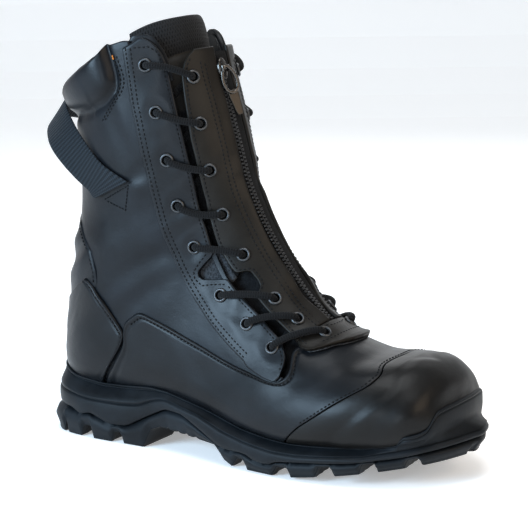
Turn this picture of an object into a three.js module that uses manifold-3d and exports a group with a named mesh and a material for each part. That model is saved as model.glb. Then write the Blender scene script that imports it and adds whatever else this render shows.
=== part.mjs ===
// Firefighter boot for the right foot, standing empty on its sole.
// Millimetres, +X toe, +Y inner side, +Z up, origin on the floor under the middle of the sole.
import * as THREE from 'three';
import { mergeVertices } from 'three/addons/utils/BufferGeometryUtils.js';
import Module from 'manifold-3d';

const wasm = await Module();
wasm.setup();

// Driving sizes of the boot
const bootLength = 308; // sole, heel to tip
const ballWidth = 112; // sole across the ball
const toeHeight = 76; // top of the toe box above the floor
const instepHeight = 162; // front bend of the shaft above the floor
const shaftHeight = 266; // highest point of the collar above the floor
const shaftWidth = 92; // shaft across the calf
const heelCupWidth = 76; // leather across the heel
const soleFront = 19; // floor to leather under the ball
const soleHeel = 30; // floor to leather under the heel
const toeSpring = 18.5; // rise of the sole's tip

// Walls and layers
const wall = 2.4; // leather and lining of the upper
const padBulge = 7.5; // outward swell of the padded collar
const padDepth = 3.5; // extra inward thickness of the padded collar
const overlayWall = 1.3; // vamp, toe cap and counter
const facingWall = 4; // eyelet facing, full thickness
const panelWall = 2.2; // leather panel beside the zip
const panelRest = 0.6; // panel's underside above the shaft's form
const insoleWall = 4;
const tongueWall = 7.4; // padded middle of the tongue
const tongueFlank = 2.8; // thin wing of the tongue
const guardWall = 4.2; // rubber guard over the toe
const soleRim = 6; // lasting margin that closes under the foot
const gap = 0.3; // clearance between touching pieces

// Lace, eyelets, zip and pull loop
const laceRound = 4;
const laceBow = 1.4; // rise of a bar in its middle
const laceFlat = 1.3; // lace pressed flat behind the facing
const eyeletHole = 5.6;
const eyeletOuter = 9;
const eyeletRise = 0.8;
const eyeletSeat = 0.7; // clearance under a flat eyelet on curved leather
const facingLap = 4; // facing over the edge of the shaft leather
const facingGirth = 53; // centre front to a facing eyelet
const throatGirth = 61; // centre front to the edge of the shaft leather
const panelGirth = 35; // centre front to the panel's edge
const zipHalf = 7; // centre front to the panel's inner edge
const chainWidth = 5.2;
const chainWall = 1.5;
const tapeWall = 0.9;
const sliderLength = 15;
const sliderWidth = 9;
const sliderWall = 2.6;
const pullLength = 24;
const pullWidth = 8;
const pullWall = 1.6;
const pinRadius = 0.8;
const webbingWidth = 20;
const webbingWall = 2;

const reach = bootLength / 2;
const ballHalf = ballWidth / 2;

// Sections of the upper from the toe up to the collar, as shares of the named sizes.
// topX, backX of reach | topZ of height | backZ of base | half, centre of side | widest share | roundness
const toeRows = [
  [0.903, 0.41, 0.903, 1.63, 0.07, 0.07, 0.5, 2.0, 2.0],
  [0.929, 0.592, 0.838, 1.37, 0.571, 0.07, 0.5, 2.2, 2.6],
  [0.903, 0.776, 0.727, 1.16, 0.804, 0.05, 0.42, 2.2, 3.0],
  [0.825, 0.921, 0.61, 1.05, 0.893, 0.036, 0.34, 2.2, 3.2],
  [0.701, 0.987, 0.442, 1.0, 0.946, 0, 0.3, 2.2, 3.2],
  [0.552, 1.0, 0.273, 1.0, 0.929, -0.036, 0.27, 2.2, 3.2],
];
const instepRows = [
  [0.396, 0.512, 0.078, 0.733, 1.237, -0.08, 0.27, 2.2, 3.2],
  [0.26, 0.623, -0.143, 0.9, 1.105, -0.026, 0.3, 2.2, 3.0],
  [0.143, 0.765, -0.455, 1.0, 1.026, 0, 0.34, 2.1, 2.8],
  [0.052, 0.901, -0.805, 1.0, 0.974, 0, 0.37, 2.1, 2.5],
  [0, 1.0, -0.948, 1.667, 1.0, 0, 0.4, 2.1, 2.3],
  [-0.039, 1.086, -0.948, 2.867, 1.053, 0, 0.43, 2.1, 2.2],
];
const shaftRows = [
  [-0.078, 0.741, -0.851, 0.519, 0.913, 0, 0.48, 2.1, 2.1],
  [-0.123, 0.831, -0.831, 0.695, 0.978, 0, 0.5, 2.1, 2.1],
  [-0.169, 0.925, -0.86, 0.846, 1.0, 0, 0.5, 2.1, 2.1],
  [-0.234, 1.083, -0.88, 1.083, 1.022, 0, 0.5, 2.1, 2.1],
];

function sizedRows(rows, height, base, side) {
  return rows.map(([topX, topZ, backX, backZ, half, centre, widest, roundTop, roundBack]) => [
    topX * reach, topZ * height, backX * reach, backZ * base,
    half * side, centre * side, widest, roundTop, roundBack,
  ]);
}

const lastRows = [
  ...sizedRows(toeRows, toeHeight, soleFront, ballHalf),
  ...sizedRows(instepRows, instepHeight, soleHeel, heelCupWidth / 2),
  ...sizedRows(shaftRows, shaftHeight, shaftHeight, shaftWidth / 2),
];
const lastRow = lastRows.length - 1;

// Smooth curve through a table's rows
function along(rows, t) {
  const last = rows.length - 1;
  const start = Math.min(Math.max(Math.floor(t), 0), last - 1);
  const f = t - start;
  const [a, b, c, d] = [start - 1, start, start + 1, start + 2]
    .map((i) => rows[Math.min(Math.max(i, 0), last)]);
  return b.map((value, i) => 0.5 * (2 * value + (c[i] - a[i]) * f
    + (2 * a[i] - 5 * value + 4 * c[i] - d[i]) * f * f
    + (3 * value - a[i] - 3 * c[i] + d[i]) * f * f * f));
}

// Straight interpolation in a table of [place, value]
function lookup(table, place) {
  if (place <= table[0][0]) return table[0][1];
  for (let i = 1; i < table.length; i += 1) {
    const [x0, y0] = table[i - 1];
    const [x1, y1] = table[i];
    if (place <= x1) return y0 + (y1 - y0) * (place - x0) / (x1 - x0);
  }
  return table[table.length - 1][1];
}

function blend(low, high, value) {
  const t = Math.min(Math.max((value - low) / (high - low), 0), 1);
  return t * t * (3 - 2 * t);
}

// Point of one section, angle 0 at the front line and positive toward the inner side
function sectionPoint(row, angle) {
  const [topX, topZ, backX, backZ, half, centre, widest, roundTop, roundBack] = along(lastRows, row);
  const c = Math.cos(angle);
  const s = Math.sin(angle);
  const power = c >= 0 ? 2 / roundTop : 2 / roundBack;
  const reachUp = Math.pow(Math.abs(c), power);
  const share = c >= 0 ? widest + (1 - widest) * reachUp : widest - widest * reachUp;
  const y = Math.sign(s) * Math.pow(Math.abs(s), power) * half;
  return new THREE.Vector3(backX + share * (topX - backX), y + centre, backZ + share * (topZ - backZ));
}

// Girth table of one section, so that a place on the leather is a distance from the front line
const girthSteps = 96;
const girthCache = new Map();
function girthTable(row) {
  const key = row.toFixed(4);
  if (!girthCache.has(key)) {
    const table = [[0, 0]];
    let before = sectionPoint(row, 0);
    let sum = 0;
    for (let i = 1; i <= girthSteps; i += 1) {
      const angle = Math.PI * i / girthSteps;
      const here = sectionPoint(row, angle);
      sum += here.distanceTo(before);
      table.push([sum, angle]);
      before = here;
    }
    girthCache.set(key, table);
  }
  return girthCache.get(key);
}

function halfGirth(row) {
  return girthTable(row)[girthSteps][0];
}

function basePoint(row, girth) {
  const half = halfGirth(row);
  let wrapped = girth;
  if (girth > half) wrapped = girth - 2 * half;
  if (girth < -half) wrapped = girth + 2 * half;
  return sectionPoint(row, Math.sign(wrapped) * lookup(girthTable(row), Math.abs(wrapped)));
}

// Place on the upper's form: row, girth from the front line, and distance off the surface
function frameAt(row, girth) {
  const step = 0.02;
  const low = Math.max(row - step, 0);
  const high = Math.min(row + step, lastRow);
  const point = basePoint(row, girth);
  const upward = basePoint(high, girth).sub(basePoint(low, girth)).normalize();
  const inward = basePoint(row, girth + 0.5).sub(basePoint(row, girth - 0.5)).normalize();
  const normal = new THREE.Vector3().crossVectors(inward, upward).normalize();
  return { point, normal, upward, inward };
}

function formPoint(row, girth, distance) {
  const { point, normal } = frameAt(row, girth);
  return point.addScaledVector(normal, distance);
}

// Meshes and solids
function geometryOf(points, triangles) {
  const geometry = new THREE.BufferGeometry();
  const flat = new Float32Array(points.length * 3);
  points.forEach((p, i) => p.toArray(flat, i * 3));
  geometry.setAttribute('position', new THREE.BufferAttribute(flat, 3));
  geometry.setIndex(triangles);
  return geometry;
}

function solidOf(geometry) {
  const bare = geometry.clone();
  bare.deleteAttribute('normal');
  bare.deleteAttribute('uv');
  const merged = mergeVertices(bare, 1e-4);
  const place = merged.attributes.position.array;
  let index = Array.from(merged.index.array);
  let volume = 0;
  const at = (i) => new THREE.Vector3().fromArray(place, i * 3);
  for (let i = 0; i < index.length; i += 3) {
    volume += at(index[i]).dot(at(index[i + 1]).cross(at(index[i + 2])));
  }
  if (volume < 0) index = index.reverse();
  return new wasm.Manifold(new wasm.Mesh({
    numProp: 3,
    vertProperties: new Float32Array(place),
    triVerts: new Uint32Array(index),
  }));
}

function geometryFrom(solid) {
  const mesh = solid.getMesh();
  const geometry = new THREE.BufferGeometry();
  geometry.setAttribute('position', new THREE.BufferAttribute(new Float32Array(mesh.vertProperties), 3));
  geometry.setIndex(Array.from(mesh.triVerts));
  return geometry;
}

// Closed solid between stacked rings of equal point counts, with fans at both ends
function ringSolid(rings) {
  const count = rings[0].length;
  const points = rings.flat();
  const triangles = [];
  for (let r = 0; r + 1 < rings.length; r += 1) {
    for (let i = 0; i < count; i += 1) {
      const a = r * count + i;
      const b = r * count + (i + 1) % count;
      triangles.push(a, b, a + count, b, b + count, a + count);
    }
  }
  const middle = (ring) => ring.reduce((sum, p) => sum.add(p), new THREE.Vector3()).divideScalar(count);
  const first = points.push(middle(rings[0])) - 1;
  const last = points.push(middle(rings[rings.length - 1])) - 1;
  const top = (rings.length - 1) * count;
  for (let i = 0; i < count; i += 1) {
    const next = (i + 1) % count;
    triangles.push(first, next, i);
    triangles.push(last, top + i, top + next);
  }
  return solidOf(geometryOf(points, triangles));
}

// Closed solid over a grid; place(u, v) gives [inner point, outer point], u and v from 0 to 1
function gridSolid(across, down, place) {
  const points = [];
  for (let j = 0; j <= down; j += 1) {
    for (let i = 0; i <= across; i += 1) points.push(...place(i / across, j / down));
  }
  const id = (i, j, side) => (j * (across + 1) + i) * 2 + side;
  const triangles = [];
  const quad = (a, b, c, d) => triangles.push(a, b, c, a, c, d);
  for (let j = 0; j < down; j += 1) {
    for (let i = 0; i < across; i += 1) {
      quad(id(i, j, 1), id(i + 1, j, 1), id(i + 1, j + 1, 1), id(i, j + 1, 1));
      quad(id(i, j, 0), id(i, j + 1, 0), id(i + 1, j + 1, 0), id(i + 1, j, 0));
    }
  }
  for (let i = 0; i < across; i += 1) {
    quad(id(i, 0, 0), id(i + 1, 0, 0), id(i + 1, 0, 1), id(i, 0, 1));
    quad(id(i + 1, down, 0), id(i, down, 0), id(i, down, 1), id(i + 1, down, 1));
  }
  for (let j = 0; j < down; j += 1) {
    quad(id(0, j + 1, 0), id(0, j, 0), id(0, j, 1), id(0, j + 1, 1));
    quad(id(across, j, 0), id(across, j + 1, 0), id(across, j + 1, 1), id(across, j, 1));
  }
  return solidOf(geometryOf(points, triangles));
}

// Leather patch on the upper's form between rows and girths, from offset low to high
function patchSolid(across, down, where) {
  return gridSolid(across, down, (u, v) => {
    const { row, girth, low, high } = where(u, v);
    return [formPoint(row, girth, low), formPoint(row, girth, high)];
  });
}

// Upright slab across the whole boot under or over a side view outline of [x, z]
function sideSlab(outline) {
  const shape = new THREE.Shape(outline.map(([x, z]) => new THREE.Vector2(x, z)));
  const slab = new THREE.ExtrudeGeometry(shape, { depth: 2 * ballWidth, bevelEnabled: false, steps: 1 });
  slab.rotateX(Math.PI / 2);
  slab.translate(0, ballWidth, 0);
  return solidOf(slab);
}

// Tube of the upper's form at an offset, closed at both ends. Forms on one grid nest
const outsideGrid = { start: 0, rows: 22, around: 22 };
const insideGrid = { start: 0.3, rows: 13, around: 14 };

function formTube(offset, grid = outsideGrid) {
  const rings = [];
  for (let r = 0; r <= grid.rows; r += 1) {
    const row = grid.start + (lastRow - grid.start) * r / grid.rows;
    const half = halfGirth(row);
    const ring = [];
    for (let i = 0; i < grid.around; i += 1) {
      const girth = half * (2 * i / grid.around - 1);
      ring.push(formPoint(row, girth, offset(row, Math.abs(girth))));
    }
    rings.push(ring);
  }
  return ringSolid(rings);
}

// Upper
const collarRow = 13.15; // pad starts here
const padStart = 84; // girth where the collar pad starts
const vampThroat = 5.9; // row where the throat starts
const seamDepth = 3 * wall; // reach of a cutter to both sides of the leather
const collarLine = [[-1.2, 0.83], [-0.9, 0.85], [-0.78, 0.9], [-0.66, 0.945], [-0.54, 0.975],
  [-0.46, 0.998], [-0.35, 1], [-0.2, 0.96]];

function padSwell(row, girth) {
  return blend(collarRow, collarRow + 0.5, row) * blend(padStart, padStart + 24, girth);
}

function outerOffset(row, girth) {
  return padBulge * padSwell(row, girth);
}

function innerOffset(row, girth) {
  return -wall - padDepth * padSwell(row, girth);
}

const throatRows = [vampThroat, 6.2, 6.6, 7.1, 7.6, 8.2, 8.9, 9.8, 11, 12.2, 13.2, 14.1, lastRow];

// Half width of the throat's opening, covered by the facing
function throatEdge(row) {
  return Math.min(throatGirth, lookup(facingBack, row) - facingLap);
}

function upperSolid() {
  const outer = formTube(outerOffset);
  const inner = formTube(innerOffset, insideGrid);
  const under = soleSlab([
    { height: () => -1, inset: () => soleRim + 8 },
    { height: () => soleHeel + soleRim, inset: () => soleRim + 8 },
  ]);
  const above = sideSlab([...collarLine.map(([x, z]) => [x * reach, z * shaftHeight]),
    [0, 1.4 * shaftHeight], [-1.2 * reach, 1.4 * shaftHeight]]);
  const throat = patchSolid(10, throatRows.length - 1, (u, v) => {
    const row = throatRows[Math.round(v * (throatRows.length - 1))];
    return { row, girth: throatEdge(row) * (2 * u - 1), low: -seamDepth, high: seamDepth };
  });
  return outer.subtract(inner).subtract(under).subtract(above).subtract(throat);
}

// Sole
// x share of reach | outer half width, inner half width as shares of half the ball width
const soleOutline = [
  [-1, 0, 0], [-0.985, 0.27, 0.26], [-0.93, 0.5, 0.48], [-0.83, 0.66, 0.64], [-0.68, 0.73, 0.7],
  [-0.487, 0.735, 0.63], [-0.292, 0.768, 0.59], [-0.097, 0.84, 0.66], [0.13, 0.946, 0.82],
  [0.338, 1, 0.946], [0.506, 0.982, 1], [0.662, 0.893, 0.964], [0.792, 0.714, 0.857],
  [0.9, 0.464, 0.66], [0.968, 0.16, 0.39], [1, -0.09, 0.09],
];
const soleStations = 23;
// side lines of the sole: x share of reach | height share of the heel's thickness
const rimLine = [[-1, 1.53], [-0.93, 1.45], [-0.82, 1.32], [-0.68, 1.24], [-0.54, 1.28], [-0.4, 1.36],
  [-0.31, 1.33], [-0.24, 1.25], [-0.04, 1], [0.08, 0.84], [0.21, 0.757], [0.3, 0.723], [0.39, 0.735],
  [0.65, 0.82], [0.81, 0.97], [1, 1.2]];
const grooveLine = [[-1, 1], [-0.84, 0.96], [-0.71, 0.907], [-0.54, 0.9], [-0.45, 0.94], [-0.36, 1.12],
  [-0.3, 1.18], [-0.12, 0.99], [0, 0.77], [0.13, 0.63], [0.26, 0.55], [0.37, 0.557], [0.65, 0.68],
  [0.81, 0.84], [1, 1.07]];
const partingLine = [[-1, 0.64], [-0.825, 0.62], [-0.76, 0.52], [-0.7, 0.6], [-0.6, 0.41], [-0.51, 0.43],
  [-0.42, 0.67], [-0.3, 0.97], [-0.21, 0.94], [-0.16, 0.82], [-0.06, 0.56], [0, 0.4], [0.06, 0.39],
  [0.13, 0.4], [0.18, 0.28], [0.25, 0.26], [0.28, 0.35], [0.37, 0.41], [0.6, 0.52], [0.8, 0.69], [1, 0.93]];
// underside of the outsole: x share of reach | height share of the heel's thickness
const treadLine = [[-1, 0.1], [-0.95, 0.02], [-0.9, 0], [-0.43, 0], [-0.39, 0.42], [-0.34, 0.52],
  [-0.16, 0.44], [-0.03, 0.38], [0, 0.12], [0.05, 0], [0.3, 0]];
// insets of the side wall toward heel and tip
const rimInset = [[-1, 5.6], [-0.8, 3], [-0.4, 2], [0.5, 2], [0.8, 3.5], [1, 6]];

const springStart = 0.3; // share of reach where the tip starts to rise
const springCurve = 1.1;

function heightOn(line) {
  return (x) => soleHeel * lookup(line, x / reach);
}

function treadHeight(x) {
  const start = springStart * reach;
  const rise = x > start ? toeSpring * Math.pow((x - start) / (reach - start), springCurve) : 0;
  return heightOn(treadLine)(x) + rise;
}

// Plan point of the sole's edge with its outward direction, side -1 outer and +1 inner
function edgePoint(t, side) {
  const place = (at) => {
    const [x, outer, inner] = along(soleOutline, at * (soleOutline.length - 1));
    return new THREE.Vector2(x * reach, side < 0 ? -outer * ballHalf : inner * ballHalf);
  };
  const step = 0.004;
  const here = place(t);
  const run = place(Math.min(t + step, 1)).sub(place(Math.max(t - step, 0))).normalize();
  return { here, out: new THREE.Vector2(-run.y * side, run.x * side) };
}

function soleSlab(levels) {
  const rings = levels.map(({ height, inset }) => {
    const ring = [];
    const spot = (t, side) => {
      const { here, out } = edgePoint(t, side);
      const depth = inset(here.x);
      if (t === 0) out.set(-1, 0);
      if (t === 1) out.set(1, 0);
      const x = here.x - out.x * depth;
      return new THREE.Vector3(x, here.y - out.y * depth, height(x));
    };
    for (let i = 0; i <= soleStations; i += 1) ring.push(spot(i / soleStations, -1));
    for (let i = soleStations - 1; i > 0; i -= 1) ring.push(spot(i / soleStations, 1));
    return ring;
  });
  const count = rings[0].length;
  const points = rings.flat();
  const triangles = [];
  for (let r = 0; r + 1 < rings.length; r += 1) {
    for (let i = 0; i < count; i += 1) {
      const a = r * count + i;
      const b = r * count + (i + 1) % count;
      triangles.push(a, b, a + count, b, b + count, a + count);
    }
  }
  const cap = (base, flip) => {
    const tri = (a, b, c) => triangles.push(...(flip ? [a, c, b] : [a, b, c]).map((k) => base + k % count));
    for (let i = 0; i < soleStations; i += 1) {
      const far = count - i;
      if (i > 0) tri(i, far, i + 1);
      if (i < soleStations - 1) tri(i + 1, far, far - 1);
    }
  };
  cap(0, false);
  cap((rings.length - 1) * count, true);
  return solidOf(geometryOf(points, triangles));
}

function midsoleSolid() {
  const rim = heightOn(rimLine);
  const groove = heightOn(grooveLine);
  const parting = heightOn(partingLine);
  const inset = (x) => lookup(rimInset, x / reach);
  const body = soleSlab([
    { height: (x) => parting(x) + gap, inset: () => 0.8 },
    { height: (x) => 0.5 * (parting(x) + groove(x)), inset: () => 0 },
    { height: (x) => groove(x) - 1, inset: (x) => 0.25 * inset(x) },
    { height: groove, inset: (x) => 0.25 * inset(x) + 1.8 },
    { height: (x) => groove(x) + 1, inset: (x) => 0.4 * inset(x) },
    { height: (x) => 0.3 * groove(x) + 0.7 * rim(x), inset: (x) => 0.7 * inset(x) },
    { height: rim, inset },
  ]);
  return body.add(guardSolid(0)).subtract(formTube(() => gap));
}

// Rubber guard in front of the toe, part of the midsole
// side view of its upper edge: x share of reach | z share of toe height
const guardEdge = [[0.79, 0.3], [0.81, 0.46], [0.86, 0.48], [0.885, 0.56], [0.905, 0.64], [0.93, 0.67],
  [1.05, 0.66]];
const guardLean = 7; // how far its top stands back from the sole's edge

function guardSolid(grow) {
  const parting = heightOn(partingLine);
  const low = (x) => parting(x) + gap;
  const apron = soleSlab([
    { height: low, inset: () => 0.8 - grow },
    { height: () => 0.4 * toeHeight, inset: () => 0.25 * guardLean - grow },
    { height: () => toeHeight, inset: () => 1.4 * guardLean - grow },
  ]);
  const front = sideSlab([
    ...guardEdge.map(([x, z]) => [x * reach - grow, z * toeHeight + grow]),
    [1.05 * reach, 0], [guardEdge[0][0] * reach - grow, 0],
  ]);
  const above = soleSlab([
    { height: low, inset: () => -soleRim },
    { height: () => 2 * toeHeight, inset: () => -soleRim },
  ]);
  return formTube(() => guardWall + grow).add(apron).intersect(front).intersect(above);
}

// What the sole takes up beside the leather, grown by the clearance
function soleSpace() {
  const rim = heightOn(rimLine);
  const body = soleSlab([
    { height: () => -1, inset: () => -gap },
    { height: (x) => rim(x) + gap, inset: () => -gap },
  ]);
  return body.add(guardSolid(gap));
}

// Lug gaps across the outsole: x share of reach at the edge | width | depth
const lugGaps = [
  [-0.85, 3, 7], [-0.705, 9, 8], [-0.545, 8, 7],
  [0.105, 9, 6], [0.315, 11, 6], [0.51, 11, 6], [0.69, 10, 6], [0.85, 8, 5],
];
const archRibs = [-0.29, -0.24, -0.19, -0.14];

function lugGapSolid([place, width, depth]) {
  const x = place * reach;
  const floor = treadHeight(x);
  const sweep = width * 0.9; // the gap runs back toward the middle
  const half = width / 2;
  const section = (at, y, grow) => [
    new THREE.Vector3(at - half - 1.5, y, floor - 5),
    new THREE.Vector3(at + half + 1.5, y, floor - 5),
    new THREE.Vector3(at + half - 1 + grow, y, floor + depth),
    new THREE.Vector3(at - half + 1 - grow, y, floor + depth),
  ];
  return ringSolid([
    section(x, -1.2 * ballHalf, 0), section(x - sweep, 0, -0.3), section(x, 1.2 * ballHalf, 0),
  ]);
}

function outsoleSolid() {
  const parting = heightOn(partingLine);
  const groundInset = (x) => (x < 0 ? 3 : 4);
  let body = soleSlab([
    { height: treadHeight, inset: groundInset },
    { height: (x) => 0.45 * treadHeight(x) + 0.55 * parting(x), inset: () => 1.6 },
    { height: parting, inset: () => 0.8 },
  ]);
  lugGaps.forEach((row) => {
    body = body.subtract(lugGapSolid(row));
  });
  archRibs.forEach((place) => {
    body = body.subtract(lugGapSolid([place, 2.6, 1.2]));
  });
  return body;
}

// Insole on the lasting margin
function insoleSolid() {
  const from = 0.9;
  const to = 9.35;
  const room = formTube(() => -wall - gap, insideGrid);
  return patchSolid(4, 9, (u, v) => {
    const row = from + (to - from) * v;
    const half = along(lastRows, row)[4];
    const ends = Math.sin(Math.PI * Math.min(Math.max(v, 0.04), 0.96));
    const width = 0.84 * half * Math.pow(ends, 0.35);
    return {
      row,
      girth: halfGirth(row) + width * (2 * u - 1),
      low: 0,
      high: -wall - gap - insoleWall,
    };
  }).intersect(room);
}

// Space behind the facings where the lace passes, as offsets of its middle and its floor
const laceLane = overlayWall - facingWall - 3 * gap - laceFlat / 2;
const laneFloor = laceLane - laceFlat / 2 - 7 * gap;

// Tongue behind the facings, raised under the zip panel
const tongueFrom = 5.1;
const tongueTop = 14.78;
const tongueLean = 6; // how far its free top stands back
const tongueHalf = 66;
const tongueColumns = [-1, -0.72, -0.35, -0.28, 0, 0.28, 0.35, 0.72, 1];

function tongueSolid() {
  return patchSolid(tongueColumns.length - 1, 11, (u, v) => {
    const side = tongueColumns[Math.round(u * (tongueColumns.length - 1))];
    const spread = tongueHalf * (0.62 + 0.38 * blend(tongueFrom, 7, tongueFrom + (tongueTop - tongueFrom) * v));
    const girth = spread * side;
    const top = tongueTop - 0.3 * Math.pow(Math.abs(side), 1.6);
    const row = tongueFrom + (top - tongueFrom) * v;
    const free = blend(6.3, 6.7, row);
    const over = blend(13.7, 14.6, row);
    const lift = blend(6.9, 7.3, row) * (1 - blend(13.7, 14.2, row));
    const rise = (1 - blend(0.26, 0.34, Math.abs(side))) * lift;
    const high = laneFloor + (panelRest - 3 * gap - laneFloor) * rise - tongueLean * over;
    const flank = blend(0.95, 0.7, Math.abs(side));
    const depth = tongueFlank + (tongueWall - tongueFlank) * flank * (0.35 + 0.65 * free);
    return { row, girth, low: high - depth, high };
  });
}

// Outlines on the leather, [girth, row] from the front line back along each side
const toeCapEdge = [[0, 4.1], [17, 4.2], [24, 4.15], [35, 3.85], [46, 3.87], [64, 4.35], [83, 4.79],
  [110, 5.0]];
// side views, x share of reach | z share of instep height
const vampView = [[-0.526, 0.506], [-0.442, 0.549], [-0.299, 0.512], [-0.123, 0.457], [0.104, 0.401],
  [0.201, 0.364], [0.273, 0.346], [0.325, 0.37], [0.445, 0.5], [0.5, 0.8], [0.75, 0.6], [0.75, 0.36],
  [0.45, 0.12], [0.45, 0], [-0.9, 0], [-0.9, 0.469]];
const counterView = [[-1.1, 0], [-0.63, 0], [-0.625, 0.26], [-0.52, 0.469], [-0.524, 0.494], [-0.72, 0.66],
  [-1.1, 0.675]];
const seamGap = 0.03; // row gap beside a seam

// Overlay cut between two forms of the upper
function overlaySolid(cutter) {
  const shell = formTube(() => gap + overlayWall).subtract(formTube(() => gap));
  return shell.intersect(cutter);
}

function toeCapCutter(grow) {
  const from = 0.3;
  const side = 110;
  return patchSolid(14, 3, (u, v) => {
    const girth = side * (2 * u - 1);
    const edge = lookup(toeCapEdge, Math.abs(girth)) + grow;
    const row = from + (edge - from) * v;
    const narrow = Math.min(1, (halfGirth(row) - soleRim) / side);
    return { row, girth: girth * narrow, low: -seamDepth, high: seamDepth };
  });
}

function viewCutter(view, grow) {
  return sideSlab(view.map(([x, z]) => [x * reach + grow, z * instepHeight + grow]));
}

function vampSolid() {
  return overlaySolid(viewCutter(vampView, 0))
    .subtract(toeCapCutter(seamGap))
    .subtract(viewCutter(counterView, 2 * gap))
    .subtract(facingSpace(-1))
    .subtract(facingSpace(1));
}

function counterSolid() {
  return overlaySolid(viewCutter(counterView, 0));
}

// Facings that carry the eyelets, [row, girth]
const facingFront = [[5.98, 45], [6.1, 40], [6.35, 37], [6.7, 34.5], [7.45, 37.5], [8, 40], [9, 41.5], [10, 40],
  [11.5, 39], [13, 40.5], [14.2, 40], [14.42, 42], [14.5, 46]];
const facingBack = [[5.98, 51], [6.1, 53.5], [6.35, 57.5], [6.7, 61.5], [7.1, 64.5], [8, 67.5], [9.5, 68.5],
  [12.5, 69], [13.6, 68], [14.5, 65]];

// rows of the facing's grid: the inner layer starts past the throat's edge
const facingRows = [5.98, 6.08, 6.2, 6.6, 7.1, 7.6, 8.2, 8.9, 9.8, 11, 12.2, 13.2, 14.2, 14.42, 14.5];

// Area of a facing grown by a seam's clearance
function facingSpace(side) {
  const last = facingRows.length - 1;
  return patchSolid(1, last, (u, v) => {
    const row = facingRows[Math.round(v * last)] - seamGap * (1 - v);
    const girth = u < 0.5 ? lookup(facingFront, row) - 2 * gap : lookup(facingBack, row) + 2 * gap;
    return { row, girth: side * girth, low: -seamDepth, high: seamDepth };
  });
}

function facingSolid(side) {
  const inset = 2 * gap;
  let facing = patchSolid(4, facingRows.length - 1, (u, v) => {
    const row = facingRows[Math.round(v * (facingRows.length - 1))];
    const front = lookup(facingFront, row);
    const back = lookup(facingBack, row);
    const ledge = throatEdge(row) - inset;
    const place = Math.round(4 * u);
    const girth = [front, 0.5 * (front + ledge), ledge, ledge + 0.1, back][place];
    const thick = place < 3 && row > vampThroat + 0.2;
    return {
      row,
      girth: side * girth,
      low: thick ? gap + overlayWall - facingWall : 2 * gap,
      high: gap + overlayWall,
    };
  });
  facing = facing.subtract(notchSolid(side, 8.55, 9.02, facingGirth - 14, facingGirth + 1));
  facingEyelets.forEach(([row, girth]) => {
    facing = facing.subtract(boreSolid(row, side * girth, eyeletHole / 2 + gap));
  });
  return facing;
}

// Flex notch in a leather edge
function notchSolid(side, from, to, outerGirth, innerGirth) {
  return patchSolid(2, 1, (u, v) => {
    const taper = 0.12 * Math.abs(innerGirth - outerGirth) * (v - 0.5) * u;
    return {
      row: from + (to - from) * (v + 0.25 * u * (0.5 - v)),
      girth: side * (outerGirth - 3 + (innerGirth - outerGirth + 3) * u - Math.abs(taper)),
      low: -2 * facingWall,
      high: 2 * facingWall,
    };
  });
}

// Eyelets: [row, girth] on the facing and on the zip panel
const facingEyelets = [[14.19, facingGirth], [13.3, facingGirth], [12.27, facingGirth], [11.22, facingGirth],
  [9.78, facingGirth - 1], [8.3, facingGirth - 2], [7.46, facingGirth - 6], [6.69, facingGirth - 9]];
const panelEyelets = [[13.89, 26], [12.78, 28], [11.66, 28], [10.16, 27], [8.69, 25.5], [7.46, 24],
  [6.8, 21], [6.13, 15]];
const boreSides = 6;
const ringSides = 6;

function alignUp(geometry, frame, distance) {
  const sideways = new THREE.Vector3().crossVectors(frame.upward, frame.normal).normalize();
  const forward = new THREE.Vector3().crossVectors(frame.normal, sideways);
  const turn = new THREE.Matrix4().makeBasis(sideways, frame.normal, forward.negate());
  turn.setPosition(frame.point.clone().addScaledVector(frame.normal, distance));
  return geometry.applyMatrix4(turn);
}

function boreSolid(row, girth, radius) {
  const bore = new THREE.CylinderGeometry(radius, radius, 4 * facingWall, boreSides);
  return solidOf(alignUp(bore, frameAt(row, girth), 0));
}

function eyeletSolid(row, girth, seat) {
  const hole = eyeletHole / 2;
  const rim = eyeletOuter / 2;
  const profile = [[hole, 0], [rim, 0], [hole + 0.5, eyeletRise], [hole, 0]];
  const ring = new THREE.LatheGeometry(profile.map(([r, z]) => new THREE.Vector2(r, z)), ringSides);
  return solidOf(alignUp(ring, frameAt(row, girth), seat + eyeletSeat));
}

// Zip panel with its tab, zip tape, chain, slider and pull tab
const panelFrom = 5.72;
const panelTop = 14.3;
const slotFrom = 6.35;
const panelEdge = [[5.72, 0.66], [5.85, 0.8], [6.1, 0.86], [6.6, 0.87], [7.7, 0.95], [8.6, 1.03], [9.3, 1.06],
  [11, 0.98], [12.5, 1.02], [13.4, 0.98], [14.1, 0.9], [14.3, 0.74]];

function panelLift(row) {
  return panelRest + (gap + overlayWall + gap - panelRest + 0.9) * (1 - blend(6.0, 6.7, row));
}

function zipPanelSolid() {
  const tabTo = slotFrom + 0.02;
  const edge = (row) => panelGirth * lookup(panelEdge, row);
  const layer = (row, girth) => ({ row, girth, low: panelLift(row), high: panelLift(row) + panelWall });
  let panel = patchSolid(4, 3, (u, v) => {
    const row = panelFrom + (tabTo - panelFrom) * v;
    return layer(row, edge(row) * (2 * u - 1));
  });
  [-1, 1].forEach((side) => {
    panel = panel.add(patchSolid(2, 12, (u, v) => {
      const row = slotFrom + (panelTop - slotFrom) * v;
      return layer(row, side * (zipHalf + (edge(row) - zipHalf) * u));
    }));
  });
  [-1, 1].forEach((side) => {
    panel = panel.subtract(notchSolid(side, 7.95, 8.42, panelGirth + 2, panelGirth - 9));
    panelEyelets.forEach(([row, girth]) => {
      panel = panel.subtract(boreSolid(row, side * girth, eyeletHole / 2 + gap));
    });
  });
  return panel;
}

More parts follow.
